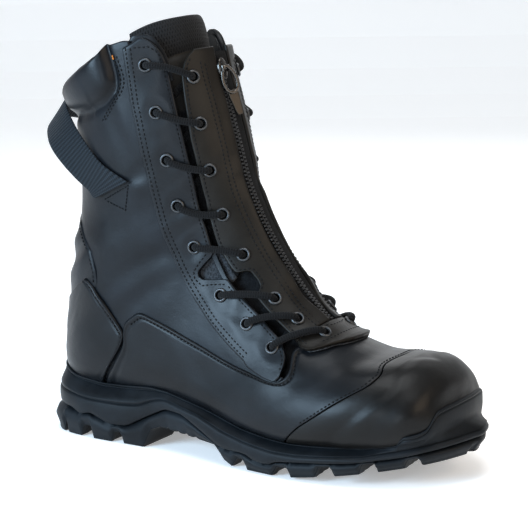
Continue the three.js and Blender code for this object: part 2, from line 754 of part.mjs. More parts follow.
function zipTapeSolid() {
  return patchSolid(2, 12, (u, v) => {
    const row = slotFrom + 0.03 + (panelTop - slotFrom - 0.1) * v;
    const low = panelLift(row);
    return { row, girth: (zipHalf - gap) * (2 * u - 1), low, high: low + tapeWall };
  });
}

function zipChainSolid() {
  return patchSolid(1, 12, (u, v) => {
    const row = slotFrom + 0.06 + (sliderRow - slotFrom - 0.06) * v;
    const low = panelLift(row) + tapeWall + gap;
    return { row, girth: chainWidth * (u - 0.5), low, high: low + chainWall };
  });
}

const sliderRow = 14.05;
const sliderSeat = panelRest + tapeWall + chainWall + 2 * gap;
const pinRise = sliderWall + 2.3; // pin's centre above the slider's underside
const cheekWall = 1.2;
const eyeWidth = 4;

function sliderFrame() {
  return frameAt(sliderRow - 0.3, 0);
}

function boxAt(width, rise, length, x, y, z) {
  return new THREE.BoxGeometry(width, rise, length).translate(x, y, z);
}

function sliderSolid() {
  const parts = [
    boxAt(sliderWidth, sliderWall, sliderLength, 0, sliderWall / 2, 0),
    ...[-1, 1].map((side) => boxAt(cheekWall, pinRise + 1.2 - sliderWall / 2, 3.6,
      side * (eyeWidth / 2 + gap + cheekWall / 2), (pinRise + 1.2 + sliderWall / 2) / 2, 0)),
    new THREE.CylinderGeometry(pinRadius, pinRadius, eyeWidth + 2 * gap + cheekWall, 8)
      .rotateZ(Math.PI / 2).translate(0, pinRise, 0),
  ];
  return parts.map((piece) => solidOf(alignUp(piece, sliderFrame(), sliderSeat)))
    .reduce((sum, piece) => sum.add(piece));
}

function pullSolid() {
  const eye = 1.9;
  const neck = 5;
  const start = [
    new THREE.CylinderGeometry(eye, eye, eyeWidth, 10).rotateZ(Math.PI / 2).translate(0, pinRise, 0),
    boxAt(eyeWidth, pullWall, neck, 0, pinRise, neck / 2 + 0.6),
    boxAt(pullWidth, pullWall, pullLength - neck, 0, pinRise, neck + (pullLength - neck) / 2),
  ].map((piece) => solidOf(alignUp(piece, sliderFrame(), sliderSeat)));
  const bore = new THREE.CylinderGeometry(pinRadius + gap, pinRadius + gap, 2 * eyeWidth, 10)
    .rotateZ(Math.PI / 2).translate(0, pinRise, 0);
  return start.reduce((sum, piece) => sum.add(piece))
    .subtract(solidOf(alignUp(bore, sliderFrame(), sliderSeat)));
}

// Swept solid along points, each with half width and half thickness
function sweepSolid(stops, sides, hint) {
  let across = hint.clone();
  const rings = stops.map(({ at, wide, thick }, i) => {
    const before = stops[Math.max(i - 1, 0)].at;
    const after = stops[Math.min(i + 1, stops.length - 1)].at;
    const run = after.clone().sub(before).normalize();
    across = across.clone().addScaledVector(run, -across.dot(run)).normalize();
    const up = new THREE.Vector3().crossVectors(run, across);
    return Array.from({ length: sides }, (_, k) => {
      const angle = 2 * Math.PI * (k + 0.5) / sides;
      return at.clone().addScaledVector(across, Math.cos(angle) * wide)
        .addScaledVector(up, Math.sin(angle) * thick);
    });
  });
  return ringSolid(rings);
}

// Lace of one side: bars in front from facing to panel, joined by links behind the facing
function laceSolid(side) {
  const radius = laceRound / 2;
  const stops = [];
  const put = (row, girth, distance, thick) => {
    stops.push({ at: formPoint(row, girth, distance), wide: radius, thick });
  };
  const facingSeat = gap + overlayWall + eyeletSeat + eyeletRise + 2 * gap + radius;
  facingEyelets.forEach(([rowA, offA], i) => {
    const [rowB, offB] = panelEyelets[i];
    const panelSeat = panelLift(rowB) + panelWall + eyeletSeat + eyeletRise + 2 * gap + radius;
    put(rowA, side * offA, laceLane, laceFlat * 0.6);
    put(rowA, side * offA, facingSeat, radius * 1.2);
    put(0.5 * (rowA + rowB), 0.5 * side * (offA + offB), Math.max(facingSeat, panelSeat) + laceBow, radius);
    put(rowB, side * offB, panelSeat, radius * 1.2);
    put(rowB, side * offB, laceLane, laceFlat * 0.6);
    const next = facingEyelets[i + 1];
    if (next) put(0.5 * (rowB + next[0]), 0.5 * side * (offB + next[1]), laceLane, laceFlat / 2);
  });
  return sweepSolid(stops, 6, frameAt(facingEyelets[0][0], side * facingGirth).upward);
}

// Webbing loop at the back of the shaft: [row, share of the half girth, stand-off of its middle]
const loopRoute = [[12.08, 0.51, 0], [12.36, 0.59, 0.2], [12.78, 0.68, 3], [13.2, 0.78, 9.5],
  [13.47, 0.88, 15], [13.56, 0.96, 17], [13.58, 1, 17.5]];

function pullLoopSolid() {
  const seat = webbingWall / 2 + 3 * gap;
  const half = loopRoute.map(([row, share, stand]) => [row, share * halfGirth(row), seat + stand]);
  const route = [...half, ...half.slice(0, -1).reverse().map(([row, girth, stand]) => [row, -girth, stand])];
  const stops = route.map(([row, girth, stand]) => ({
    at: formPoint(row, girth, stand),
    out: frameAt(row, girth).normal,
  }));
  return ringSolid(stops.map(({ at, out }, i) => {
    const before = stops[Math.max(i - 1, 0)].at;
    const run = stops[Math.min(i + 1, stops.length - 1)].at.clone().sub(before).normalize();
    const face = out.clone().addScaledVector(run, -out.dot(run)).normalize();
    const wide = new THREE.Vector3().crossVectors(run, face);
    return [[-1, -1], [1, -1], [1, 1], [-1, 1]].map(([w, o]) => at.clone()
      .addScaledVector(wide, w * webbingWidth / 2).addScaledVector(face, o * webbingWall / 2));
  }));
}

// Assembly
const boot = new THREE.Group();
const leather = { color: 0x1d2024, roughness: 0.45, metalness: 0 };
const rubber = { color: 0x22252a, roughness: 0.7, metalness: 0 };
const textile = { color: 0x141516, roughness: 0.9, metalness: 0 };
const metal = { color: 0x2a2b2d, roughness: 0.3, metalness: 0.9 };

function addPiece(name, solid, look) {
  const mesh = new THREE.Mesh(geometryFrom(solid), new THREE.MeshStandardMaterial(look));
  mesh.name = name;
  boot.add(mesh);
}

const space = soleSpace();
addPiece('outsole', outsoleSolid(), rubber);
addPiece('midsole', midsoleSolid(), rubber);
addPiece('insole', insoleSolid(), textile);
addPiece('upper', upperSolid(), leather);
addPiece('tongue', tongueSolid(), textile);
addPiece('toe_cap', overlaySolid(toeCapCutter(0)).subtract(space), leather);
addPiece('vamp', vampSolid().subtract(space), leather);
addPiece('heel_counter', counterSolid().subtract(space), leather);
addPiece('zip_panel', zipPanelSolid(), leather);
addPiece('zip_tape', zipTapeSolid(), textile);
addPiece('zip_chain', zipChainSolid(), metal);
addPiece('zip_slider', sliderSolid(), metal);
addPiece('zip_pull', pullSolid(), metal);
addPiece('pull_loop', pullLoopSolid(), textile);
[['lateral', -1], ['medial', 1]].forEach(([name, side]) => {
  addPiece(`facing_${name}`, facingSolid(side), leather);
  addPiece(`lace_${name}`, laceSolid(side), textile);
  facingEyelets.forEach(([row, girth], i) => {
    addPiece(`eyelet_facing_${name}_${i + 1}`, eyeletSolid(row, side * girth, gap + overlayWall), metal);
  });
  panelEyelets.forEach(([row, girth], i) => {
    const seat = panelLift(row) + panelWall;
    addPiece(`eyelet_panel_${name}_${i + 1}`, eyeletSolid(row, side * girth, seat), metal);
  });
});

export default boot;
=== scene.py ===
from bisect import bisect_right
from math import copysign, cos, exp, floor, hypot, pi, radians, sin, sqrt
import bpy
import bmesh
from mathutils import Matrix, Vector, noise
from mathutils.bvhtree import BVHTree


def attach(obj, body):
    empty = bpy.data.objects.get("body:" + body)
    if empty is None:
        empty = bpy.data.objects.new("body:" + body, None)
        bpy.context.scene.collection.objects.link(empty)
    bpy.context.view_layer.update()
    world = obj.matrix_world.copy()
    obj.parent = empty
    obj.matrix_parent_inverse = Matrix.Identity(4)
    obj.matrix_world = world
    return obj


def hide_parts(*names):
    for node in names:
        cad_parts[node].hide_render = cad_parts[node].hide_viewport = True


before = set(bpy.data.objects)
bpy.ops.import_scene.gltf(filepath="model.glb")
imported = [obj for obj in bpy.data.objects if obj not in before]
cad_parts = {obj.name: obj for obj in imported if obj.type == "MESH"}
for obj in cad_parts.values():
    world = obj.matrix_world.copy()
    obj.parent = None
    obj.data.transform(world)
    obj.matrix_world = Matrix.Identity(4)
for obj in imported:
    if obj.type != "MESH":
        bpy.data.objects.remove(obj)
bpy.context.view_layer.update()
mm = 0.001

# sizes of the boot, in millimetres as in the part's source
boot = {
    "length": 308, "ballWidth": 112, "toeHeight": 76, "instepHeight": 162, "shaftHeight": 266,
    "shaftWidth": 92, "heelCupWidth": 76, "soleFront": 19, "soleHeel": 30, "toeSpring": 18.5,
    "wall": 2.4, "gap": 0.3, "overlay": 1.3, "facing": 4,
}
reach = boot["length"] / 2
ballHalf = boot["ballWidth"] / 2

toeRows = [
    (.903, .41, .903, 1.63, .07, .07, .5, 2, 2), (.929, .592, .838, 1.37, .571, .07, .5, 2.2, 2.6),
    (.903, .776, .727, 1.16, .804, .05, .42, 2.2, 3), (.825, .921, .61, 1.05, .893, .036, .34, 2.2, 3.2),
    (.701, .987, .442, 1, .946, 0, .3, 2.2, 3.2), (.552, 1, .273, 1, .929, -.036, .27, 2.2, 3.2),
]
instepRows = [
    (.396, .512, .078, .733, 1.237, -.08, .27, 2.2, 3.2), (.26, .623, -.143, .9, 1.105, -.026, .3, 2.2, 3),
    (.143, .765, -.455, 1, 1.026, 0, .34, 2.1, 2.8), (.052, .901, -.805, 1, .974, 0, .37, 2.1, 2.5),
    (0, 1, -.948, 1.667, 1, 0, .4, 2.1, 2.3), (-.039, 1.086, -.948, 2.867, 1.053, 0, .43, 2.1, 2.2),
]
shaftRows = [
    (-.078, .741, -.851, .519, .913, 0, .48, 2.1, 2.1), (-.123, .831, -.831, .695, .978, 0, .5, 2.1, 2.1),
    (-.169, .925, -.86, .846, 1, 0, .5, 2.1, 2.1), (-.234, 1.083, -.88, 1.083, 1.022, 0, .5, 2.1, 2.1),
]


def sizedRows(rows, height, base, side):
    return [(a * reach, b * height, c * reach, d * base, e * side, f * side, g, h, i)
            for a, b, c, d, e, f, g, h, i in rows]


lastRows = (sizedRows(toeRows, boot["toeHeight"], boot["soleFront"], ballHalf)
            + sizedRows(instepRows, boot["instepHeight"], boot["soleHeel"], boot["heelCupWidth"] / 2)
            + sizedRows(shaftRows, boot["shaftHeight"], boot["shaftHeight"], boot["shaftWidth"] / 2))
topOfForm = len(lastRows) - 1


def spline(a, b, c, d, f):
    return 0.5 * (2 * b + (c - a) * f + (2 * a - 5 * b + 4 * c - d) * f * f + (3 * b - a - 3 * c + d) * f ** 3)


def along(rows, t):
    last = len(rows) - 1
    start = min(max(int(floor(t)), 0), last - 1)
    four = [rows[min(max(i, 0), last)] for i in range(start - 1, start + 3)]
    return [spline(*column, t - start) for column in zip(*four)]


def lookup(table, place):
    if place <= table[0][0]:
        return table[0][1]
    for (x0, y0), (x1, y1) in zip(table, table[1:]):
        if place <= x1:
            return y0 + (y1 - y0) * (place - x0) / (x1 - x0)
    return table[-1][1]


def smoothLookup(table, place, spread):
    return sum(lookup(table, place + spread * k) for k in (-1, -.5, 0, .5, 1)) / 5


def blend(low, high, value):
    t = min(max((value - low) / (high - low), 0), 1)
    return t * t * (3 - 2 * t)


sectionCache = {}


def section(row):
    key = round(row, 4)
    if key not in sectionCache:
        sectionCache[key] = along(lastRows, row)
    return sectionCache[key]


def sectionPoint(row, angle):
    topX, topZ, backX, backZ, half, centre, widest, roundTop, roundBack = section(row)
    c = cos(angle)
    s = sin(angle)
    power = 2 / (roundTop if c >= 0 else roundBack)
    up = abs(c) ** power
    share = widest + (1 - widest) * up if c >= 0 else widest - widest * up
    y = copysign(abs(s) ** power, s) * half
    return Vector((backX + share * (topX - backX), y + centre, backZ + share * (topZ - backZ)))


rowStep = 0.05
angleSteps = 72
girthSums = {}


def girthTable(k):
    if k not in girthSums:
        row = min(k * rowStep, topOfForm)
        sums = [0.0]
        before = sectionPoint(row, 0)
        for i in range(1, angleSteps + 1):
            here = sectionPoint(row, pi * i / angleSteps)
            sums.append(sums[-1] + (here - before).length)
            before = here
        girthSums[k] = sums
    return girthSums[k]


def halfGirth(row):
    k = int(row / rowStep)
    f = row / rowStep - k
    return girthTable(k)[-1] * (1 - f) + girthTable(k + 1)[-1] * f


def angleAt(row, girth):
    k = int(row / rowStep)
    f = row / rowStep - k
    half = halfGirth(row)
    if girth > half:
        girth -= 2 * half
    if girth < -half:
        girth += 2 * half
    share = min(abs(girth) / half, 1)
    angle = 0
    for index, weight in ((k, 1 - f), (k + 1, f)):
        sums = girthTable(index)
        place = share * sums[-1]
        i = min(bisect_right(sums, place) - 1, angleSteps - 1)
        angle += weight * (i + (place - sums[i]) / (sums[i + 1] - sums[i]))
    return copysign(angle * pi / angleSteps, girth)


# the leather hangs in at the ankle, fills out low on the heel and dips behind the toe cap: row, mm
heelSet = [(8.9, 0), (9.25, 2.6), (9.6, 1.8), (9.9, -0.8), (10.3, -4.0), (10.6, -4.8), (10.95, -4.8), (11.35, -4),
           (11.7, -1.2), (11.95, 0)]
vampDip = [(3.7, 0), (4.0, -1.6), (4.3, -2.8), (4.8, -3), (5.3, -1.5), (5.6, 0)]


def fromFront(row, girth):
    # girth beyond the middle of the back counts down again on the other side
    half = halfGirth(row)
    return half - abs(half - abs(girth))


def formSet(row, girth):
    total = 0
    if 8.9 < row < 11.95:
        total += smoothLookup(heelSet, row, 0.15) * blend(0.58, 0.86, fromFront(row, girth) / halfGirth(row))
    if 3.7 < row < 5.6:
        total += smoothLookup(vampDip, row, 0.1) * (1 - blend(16, 44, abs(girth)))
    if row < 2.4:
        total -= 2.6 * blend(0.3, 1.1, row) * (1 - blend(1.5, 2.4, row)) * (1 - blend(20, 60, abs(girth)))
    return total


def formFrame(row, girth):
    row = min(max(row, 0.001), topOfForm - 0.001)
    angle = angleAt(row, girth)
    point = sectionPoint(row, angle)
    inward = (sectionPoint(row, angle + 0.02) - sectionPoint(row, angle - 0.02)).normalized()
    low = max(row - 0.02, 0)
    high = min(row + 0.02, topOfForm)
    upward = (sectionPoint(high, angle) - sectionPoint(low, angle)).normalized()
    normal = inward.cross(upward).normalized()
    return point + normal * formSet(row, girth), normal, upward, inward


def onForm(row, girth, distance):
    point, normal, _, _ = formFrame(row, girth)
    return point + normal * distance


def addObject(name, data):
    made = bpy.data.objects.new(name, data)
    bpy.context.scene.collection.objects.link(made)
    return made


# camera, at the angle of the photograph
view = {"azimuth": 31.3, "elevation": 10.94, "distance": 1.22, "target": (0.004, 0, 0.1214), "lens": 130.6,
        "roll": -0.65}


def addCamera():
    az = radians(view["azimuth"])
    el = radians(view["elevation"])
    back = Vector((sin(az) * cos(el), -cos(az) * cos(el), sin(el)))
    right = Vector((cos(az), sin(az), 0))
    data = bpy.data.cameras.new("camera")
    data.lens = view["lens"]
    data.sensor_width = 36
    data.clip_start = 0.05
    camera = addObject("camera", data)
    turn = Matrix((right, back.cross(right), back)).transposed().to_4x4()
    roll = Matrix.Rotation(radians(view["roll"]), 4, "Z")
    camera.matrix_world = Matrix.Translation(Vector(view["target"]) + back * view["distance"]) @ turn @ roll
    bpy.context.scene.camera = camera


addCamera()


# materials
def newMaterial(name, colour, roughness, metallic=0.0, specular=0.5, coat=0.0, sheen=0.0):
    material = bpy.data.materials.new(name)
    material.use_nodes = True
    shader = material.node_tree.nodes["Principled BSDF"]
    values = {"Base Color": (*colour, 1), "Roughness": roughness, "Metallic": metallic,
              "Specular IOR Level": specular, "Coat Weight": coat, "Coat Roughness": 0.34 if coat else 0.2,
              "Sheen Weight": sheen, "Sheen Roughness": 0.5}
    for key, value in values.items():
        shader.inputs[key].default_value = value
    return material, material.node_tree, shader


def addNode(tree, kind, inputs, output=0, **settings):
    # an input takes a value or another node's output
    node = tree.nodes.new("ShaderNode" + kind)
    for key, value in settings.items():
        setattr(node, key, value)
    for key, value in inputs.items():
        if isinstance(value, bpy.types.NodeSocket):
            tree.links.new(value, node.inputs[key])
        else:
            node.inputs[key].default_value = value
    return node.outputs[output]


def noiseField(tree, place, scale, detail=4, rough=0.55, stretch=None):
    if stretch:
        place = addNode(tree, "Mapping", {"Vector": place, "Scale": stretch})
    return addNode(tree, "TexNoise", {"Vector": place, "Scale": scale, "Detail": detail, "Roughness": rough}, "Fac")


def cellField(tree, place, scale):
    return addNode(tree, "TexVoronoi", {"Vector": place, "Scale": scale}, "Distance")


def ramp(tree, value, low, high, start=0, end=1):
    values = {"Value": value, "From Min": low, "From Max": high, "To Min": start, "To Max": end}
    return addNode(tree, "MapRange", values, "Result")


def mixColour(tree, factor, *colours):
    first, second = ((*c, 1) if isinstance(c, tuple) else c for c in colours)
    return addNode(tree, "Mix", {0: factor, 6: first, 7: second}, 2, data_type="RGBA")


def dress(tree, shader, colour, roughness, layers):
    # layers of bump: height, strength, distance
    bump = {}
    for height, strength, distance in layers:
        bump = {"Normal": addNode(tree, "Bump", {"Height": height, "Strength": strength, "Distance": distance,
                                                 **bump})}
    for key, value in (("Base Color", colour), ("Roughness", roughness), ("Normal", bump["Normal"])):
        tree.links.new(value, shader.inputs[key])


def leatherFinish(name, dark, light, roughness, coat, grain=1.0):
    material, tree, shader = newMaterial(name, dark, roughness, specular=0.13, coat=coat)
    place = addNode(tree, "TexCoord", {}, "Object")
    clouds = noiseField(tree, place, 26, 4, 0.6)
    fine = noiseField(tree, place, 420, 5, 0.65)
    tone = mixColour(tree, ramp(tree, clouds, 0.35, 0.7), dark, light)
    scuff = noiseField(tree, place, 90, 6, 0.75, (1, 1, 0.25))
    worn = mixColour(tree, ramp(tree, scuff, 0.66, 0.8, 0, 0.35), tone, (0.024, 0.028, 0.034))
    wrinkle = noiseField(tree, place, 150, 5, 0.6, (1, 1, 1.8))
    dress(tree, shader, worn, ramp(tree, clouds, 0.3, 0.7, roughness - 0.05, roughness + 0.07),
          [(wrinkle, 0.25, 0.0006), (fine, 0.22 * grain, 0.00022),
           (cellField(tree, place, 1250), 0.16 * grain, 0.00016)])
    return material


def rubberFinish(name, dark, light, roughness):
    material, tree, shader = newMaterial(name, dark, roughness, specular=0.11)
    place = addNode(tree, "TexCoord", {}, "Object")
    clouds = noiseField(tree, place, 40, 5, 0.65)
    dust = noiseField(tree, place, 300, 5, 0.7)
    tone = mixColour(tree, ramp(tree, clouds, 0.35, 0.7), dark, light)
    dress(tree, shader, mixColour(tree, ramp(tree, dust, 0.62, 0.8, 0, 0.3), tone, (0.03, 0.034, 0.038)),
          ramp(tree, clouds, 0.3, 0.7, roughness - 0.06, roughness + 0.08),
          [(dust, 0.12, 0.0003), (noiseField(tree, place, 1400, 3, 0.6), 0.25, 0.00012)])
    return material


def clothFinish(name, dark, light, scale, depth, roughness=0.9, sheen=0.3):
    material, tree, shader = newMaterial(name, dark, roughness, specular=0.1, sheen=sheen * 0.2)
    place = addNode(tree, "TexCoord", {}, "Object")
    weave = cellField(tree, place, scale)
    fuzz = noiseField(tree, place, scale * 2.2, 3, 0.7)
    clouds = noiseField(tree, place, 60, 4, 0.6)
    # painted shade: colour follows the weave's bump, its low cells darker and its raised threads lighter
    tone = mixColour(tree, ramp(tree, weave, 0.1, 0.7), dark, light)
    dress(tree, shader, mixColour(tree, ramp(tree, clouds, 0.4, 0.7, 0, 0.4), tone, dark),
          ramp(tree, clouds, 0.3, 0.7, roughness - 0.08, min(roughness + 0.06, 1)),
          [(weave, 0.5, depth), (fuzz, 0.3, depth * 0.6)])
    return material


def uvWaveFinish(name, dark, light, across, lengthwise, depth, roughness=0.85, dots=0):
    # threads that follow a strip: u across it and v along it, both in millimetres; dots gives round pores. Its colour
    # follows the thread height: painted shade in grooves and pores, painted highlight on ridges
    material, tree, shader = newMaterial(name, dark, roughness, specular=0.1, sheen=0.03)

    def maths(operation, *values):
        return addNode(tree, "Math", dict(enumerate(values)), operation=operation)

    def wave(axis, pitch):
        strip = addNode(tree, "SeparateXYZ", {0: addNode(tree, "TexCoord", {}, "UV")}, axis)
        return maths("SINE", maths("MULTIPLY", strip, 2 * pi / pitch))

    lengthways = wave(1, lengthwise)
    both = maths("MULTIPLY", wave(0, across), lengthways)
    total = maths("ADD", 0.5 if dots else lengthways, both)
    height = ramp(tree, total, *((-0.35, 0.3) if dots else (-1.6, 1.6)))
    fuzz = noiseField(tree, addNode(tree, "TexCoord", {}, "Object"), 2600, 3, 0.7)
    # painted shade and highlight: colour follows the threads' height, dark in grooves and pores, light on ridges
    dress(tree, shader, mixColour(tree, height, dark, light),
          ramp(tree, height, 0, 1, min(roughness + 0.08, 1), roughness - 0.08),
          [(height, 0.8, depth), (fuzz, 0.25, depth * 0.5)])
    return material


def metalFinish(name, colour, roughness, metallic=1.0):
    material, tree, shader = newMaterial(name, colour, roughness, metallic)
    place = addNode(tree, "TexCoord", {}, "Object")
    stains = noiseField(tree, place, 500, 4, 0.6)
    lighter = tuple(min(c * 1.35 + 0.004, 1) for c in colour)
    scratch = noiseField(tree, place, 3000, 2, 0.5, (1, 1, 0.15))
    dress(tree, shader, mixColour(tree, ramp(tree, stains, 0.35, 0.75), colour, lighter),
          ramp(tree, stains, 0.3, 0.7, roughness - 0.06, roughness + 0.12), [(scratch, 0.08, 0.00005)])
    return material


# one black leather throughout: the cool blue tint of shaft, facing and vamp and the warm tint of toe and panel are
# painted light colour, standing for the cool side light and the warm front light
finishes = {
    "shaft": leatherFinish("shaftLeather", (0.0022, 0.0028, 0.0038), (0.0056, 0.0072, 0.0098), 0.38, 0.06),
    "facing": leatherFinish("facingLeather", (0.0026, 0.0032, 0.0042), (0.0064, 0.0079, 0.0102), 0.36, 0.08),
    "vamp": leatherFinish("vampLeather", (0.0024, 0.0028, 0.0035), (0.0058, 0.0068, 0.0084), 0.37, 0.06, 0.8),
    "toe": leatherFinish("toeLeather", (0.0032, 0.003, 0.0029), (0.0068, 0.0064, 0.0061), 0.38, 0.05, 0.5),
    "panel": leatherFinish("panelLeather", (0.0044, 0.0037, 0.0029), (0.0095, 0.0079, 0.0061), 0.42, 0.04, 0.9),
    "lining": clothFinish("liningCloth", (0.003, 0.003, 0.0034), (0.009, 0.009, 0.0098), 900, 0.0003),
    "insole": clothFinish("insoleFelt", (0.006, 0.006, 0.0066), (0.016, 0.016, 0.017), 700, 0.0004),
    "felt": clothFinish("greyFelt", (0.008, 0.0085, 0.0095), (0.045, 0.049, 0.055), 800, 0.0006),
    "mesh": uvWaveFinish("tongueMesh", (0.002, 0.002, 0.0023), (0.0085, 0.0085, 0.009), 2.6, 2.6, 0.0009, 0.75, 1),
    "tape": clothFinish("zipTape", (0.0016, 0.0016, 0.0017), (0.004, 0.004, 0.0042), 1500, 0.0002, 0.9, 0.1),
    # the blue tint of both rubbers is a painted reflection of the cool light
    "outsole": rubberFinish("outsoleRubber", (0.0042, 0.0053, 0.0066), (0.0092, 0.0114, 0.014), 0.5),
    "midsole": rubberFinish("midsoleRubber", (0.004, 0.005, 0.0062), (0.0086, 0.0106, 0.013), 0.48),
    "lace": uvWaveFinish("laceBraid", (0.0016, 0.0016, 0.0018), (0.0065, 0.0065, 0.007), 2.1, 1.5, 0.0003),
    "webbing": uvWaveFinish("ribbedWebbing", (0.0018, 0.0024, 0.0032), (0.0125, 0.0175, 0.023), 1.15, 2.5, 0.0006,
                            0.6),
    "thread": clothFinish("seamThread", (0.0012, 0.0012, 0.0014), (0.005, 0.0052, 0.0056), 3000, 0.0001, 0.7, 0.1),
    "orangeThread": clothFinish("orangeThread", (0.35, 0.1, 0.015), (0.5, 0.17, 0.03), 3000, 0.0001, 0.8, 0.1),
    "eyelet": metalFinish("eyeletMetal", (0.05, 0.052, 0.055), 0.34, 0.85),
    "teeth": metalFinish("zipTeeth", (0.0045, 0.0045, 0.0048), 0.38, 0.0),
    "zipMetal": metalFinish("zipMetal", (0.06, 0.055, 0.05), 0.22),
    "pullMetal": metalFinish("pullMetal", (0.028, 0.022, 0.016), 0.34, 0.6),
}
print("finishes", len(finishes))


# mesh helpers
sides = (("lateral", -1), ("medial", 1))


def finishMesh(name, bm, finish, replaced=(), body="boot", smooth=True):
    mesh = bpy.data.meshes.new(name)
    bm.to_mesh(mesh)
    bm.free()
    mesh.polygons.foreach_set("use_smooth", [smooth] * len(mesh.polygons))
    mesh.materials.append(finishes[finish])
    piece = addObject(name, mesh)
    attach(piece, body)
    if replaced:
        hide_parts(*replaced)
    return piece


def mergeVerts(bm, verts=None, distance=1e-6):
    bmesh.ops.remove_doubles(bm, verts=verts or bm.verts, dist=distance)


def fillHoles(bm):
    bmesh.ops.holes_fill(bm, edges=[e for e in bm.edges if e.is_boundary], sides=0)


def faceOutward(bm):
    bmesh.ops.recalc_face_normals(bm, faces=bm.faces)


def gridLayer(bm, us, vs, place, uvOf=None):
    made = bmesh.ops.create_grid(bm, x_segments=len(us) - 1, y_segments=len(vs) - 1, size=1)["verts"]
    spots = {}
    for vert in made:
        i = round((vert.co.x + 1) / 2 * (len(us) - 1))
        j = round((vert.co.y + 1) / 2 * (len(vs) - 1))
        spots[vert] = (us[i], vs[j])
        vert.co = place(us[i], vs[j]) * mm
    if uvOf:
        layer = bm.loops.layers.uv.verify()
        for face in {f for vert in made for f in vert.link_faces}:
            for loop in face.loops:
                loop[layer].uv = uvOf(*spots[loop.vert])
    return made


punch = {"inside": 3.35, "rim": 5.2}


def bridgeRims(bm, holes=()):
    # joins a sheet's two faces at its holes and along its edge
    for centre in holes:
        faces = [f for f in bm.faces if (f.calc_center_median() - centre).length < punch["inside"] * mm]
        bmesh.ops.delete(bm, geom=faces, context="FACES")
        rims = [e for e in bm.edges if e.is_boundary
                and ((e.verts[0].co + e.verts[1].co) / 2 - centre).length < punch["rim"] * mm]
        if rims:
            bmesh.ops.bridge_loops(bm, edges=rims)
    bmesh.ops.bridge_loops(bm, edges=[e for e in bm.edges if e.is_boundary])
    faceOutward(bm)


def spread(count, edge=0.0, steps=3):
    # places from 0 to 1, closer together near both ends
    places = [i / count for i in range(count + 1)]
    if edge:
        near = [edge * (k / steps) ** 1.5 for k in range(1, steps + 1)]
        places = [p for p in places if p in (0, 1) or edge < p < 1 - edge]
        places += near + [1 - n for n in near]
    return sorted(set(places))


def edgeDrop(distance, radius):
    if distance >= radius:
        return 0
    return radius - sqrt(max(radius ** 2 - (radius - distance) ** 2, 0))


def sheetInto(bm, us, vs, where, uvOf=None):
    # where gives the row, the girth and the low and high face's distances
    spots = {(u, v): where(u, v) for u in us for v in vs}
    for face in (3, 2):
        gridLayer(bm, us, vs, lambda u, v: onForm(*spots[u, v][:2], spots[u, v][face]), uvOf)


def leatherSheet(name, columns, rows, where, finish, replaced=(), holes=(), size=(100, 100), drop=0.9):
    def shaped(u, v):
        row, girth, low, high = where(u, v)
        near = min(min(u, 1 - u) * size[0], min(v, 1 - v) * size[1])
        return row, girth, low, high - edgeDrop(near, min(drop, high - low)) + surfaceRelief(row, girth)

    bm = bmesh.new()
    sheetInto(bm, spread(*columns), spread(*rows), shaped)
    bridgeRims(bm, holes)
    finishMesh(name, bm, finish, replaced)


# soft creases of the leather: row, girth, half length, half width in mm, turn in degrees, depth
creases = [
    (12.15, 84, 16, 4, -15, -0.9), (12.02, 78, 13, 3, 12, 0.7), (11.5, 97, 24, 10, 20, -0.9),
    (10.9, 84, 22, 12, -10, 0.8), (10.5, 108, 26, 9, 15, -1.1), (9.95, 100, 30, 7, 8, 1.0),
    (9.6, 106, 28, 6, 4, -1.2), (9.1, 92, 22, 8, -12, 0.8), (10.2, 76, 16, 6, 30, -0.6),
    (8.3, 80, 26, 8, 18, -0.7), (12.9, 80, 22, 7, 70, -0.8), (13.3, 76, 16, 5, 80, 0.6),
    (7.3, 84, 26, 7, 24, -0.7), (6.7, 96, 24, 7, 30, 0.6), (6.1, 78, 20, 6, 40, -0.6),
    (5.5, 46, 20, 6, 20, -0.5), (5.3, 20, 22, 6, 0, 0.5), (7.9, 52, 12, 3, 35, -0.35),
    (7.6, 54, 12, 3, 30, 0.3), (11.8, 56, 10, 5, 60, -0.35), (10.5, 54, 9, 5, 50, 0.35),
]
rowPitch = [(0, 14), (4, 24), (6, 22), (8, 18), (10, 19), (12, 25), (15, 26)]


def surfaceRelief(row, girth):
    total = 0
    side = fromFront(row, girth)
    pitch = lookup(rowPitch, row)
    for r0, g0, length, width, turn, depth in creases:
        a = side - g0
        b = (row - r0) * pitch
        if max(abs(a), abs(b)) > 2.5 * length:
            continue
        c = cos(radians(turn))
        s = sin(radians(turn))
        x = (a * c + b * s) / length
        y = (b * c - a * s) / width
        total += depth * exp(-x * x - y * y)
    wave = noise.noise(Vector((girth / 26, row * pitch / 26, 3.1)))
    ripple = noise.noise(Vector((girth / 9, row * pitch / 9, 7.7)))
    total += 0.75 * wave + 0.1 * ripple
    for r0, g0 in facingEyelets:
        d = hypot(side - g0, (row - r0) * pitch)
        if d < 16:
            total += -0.6 * exp(-(d / 5.5) ** 2) + 0.2 * exp(-((d - 9) / 3) ** 2)
    return total


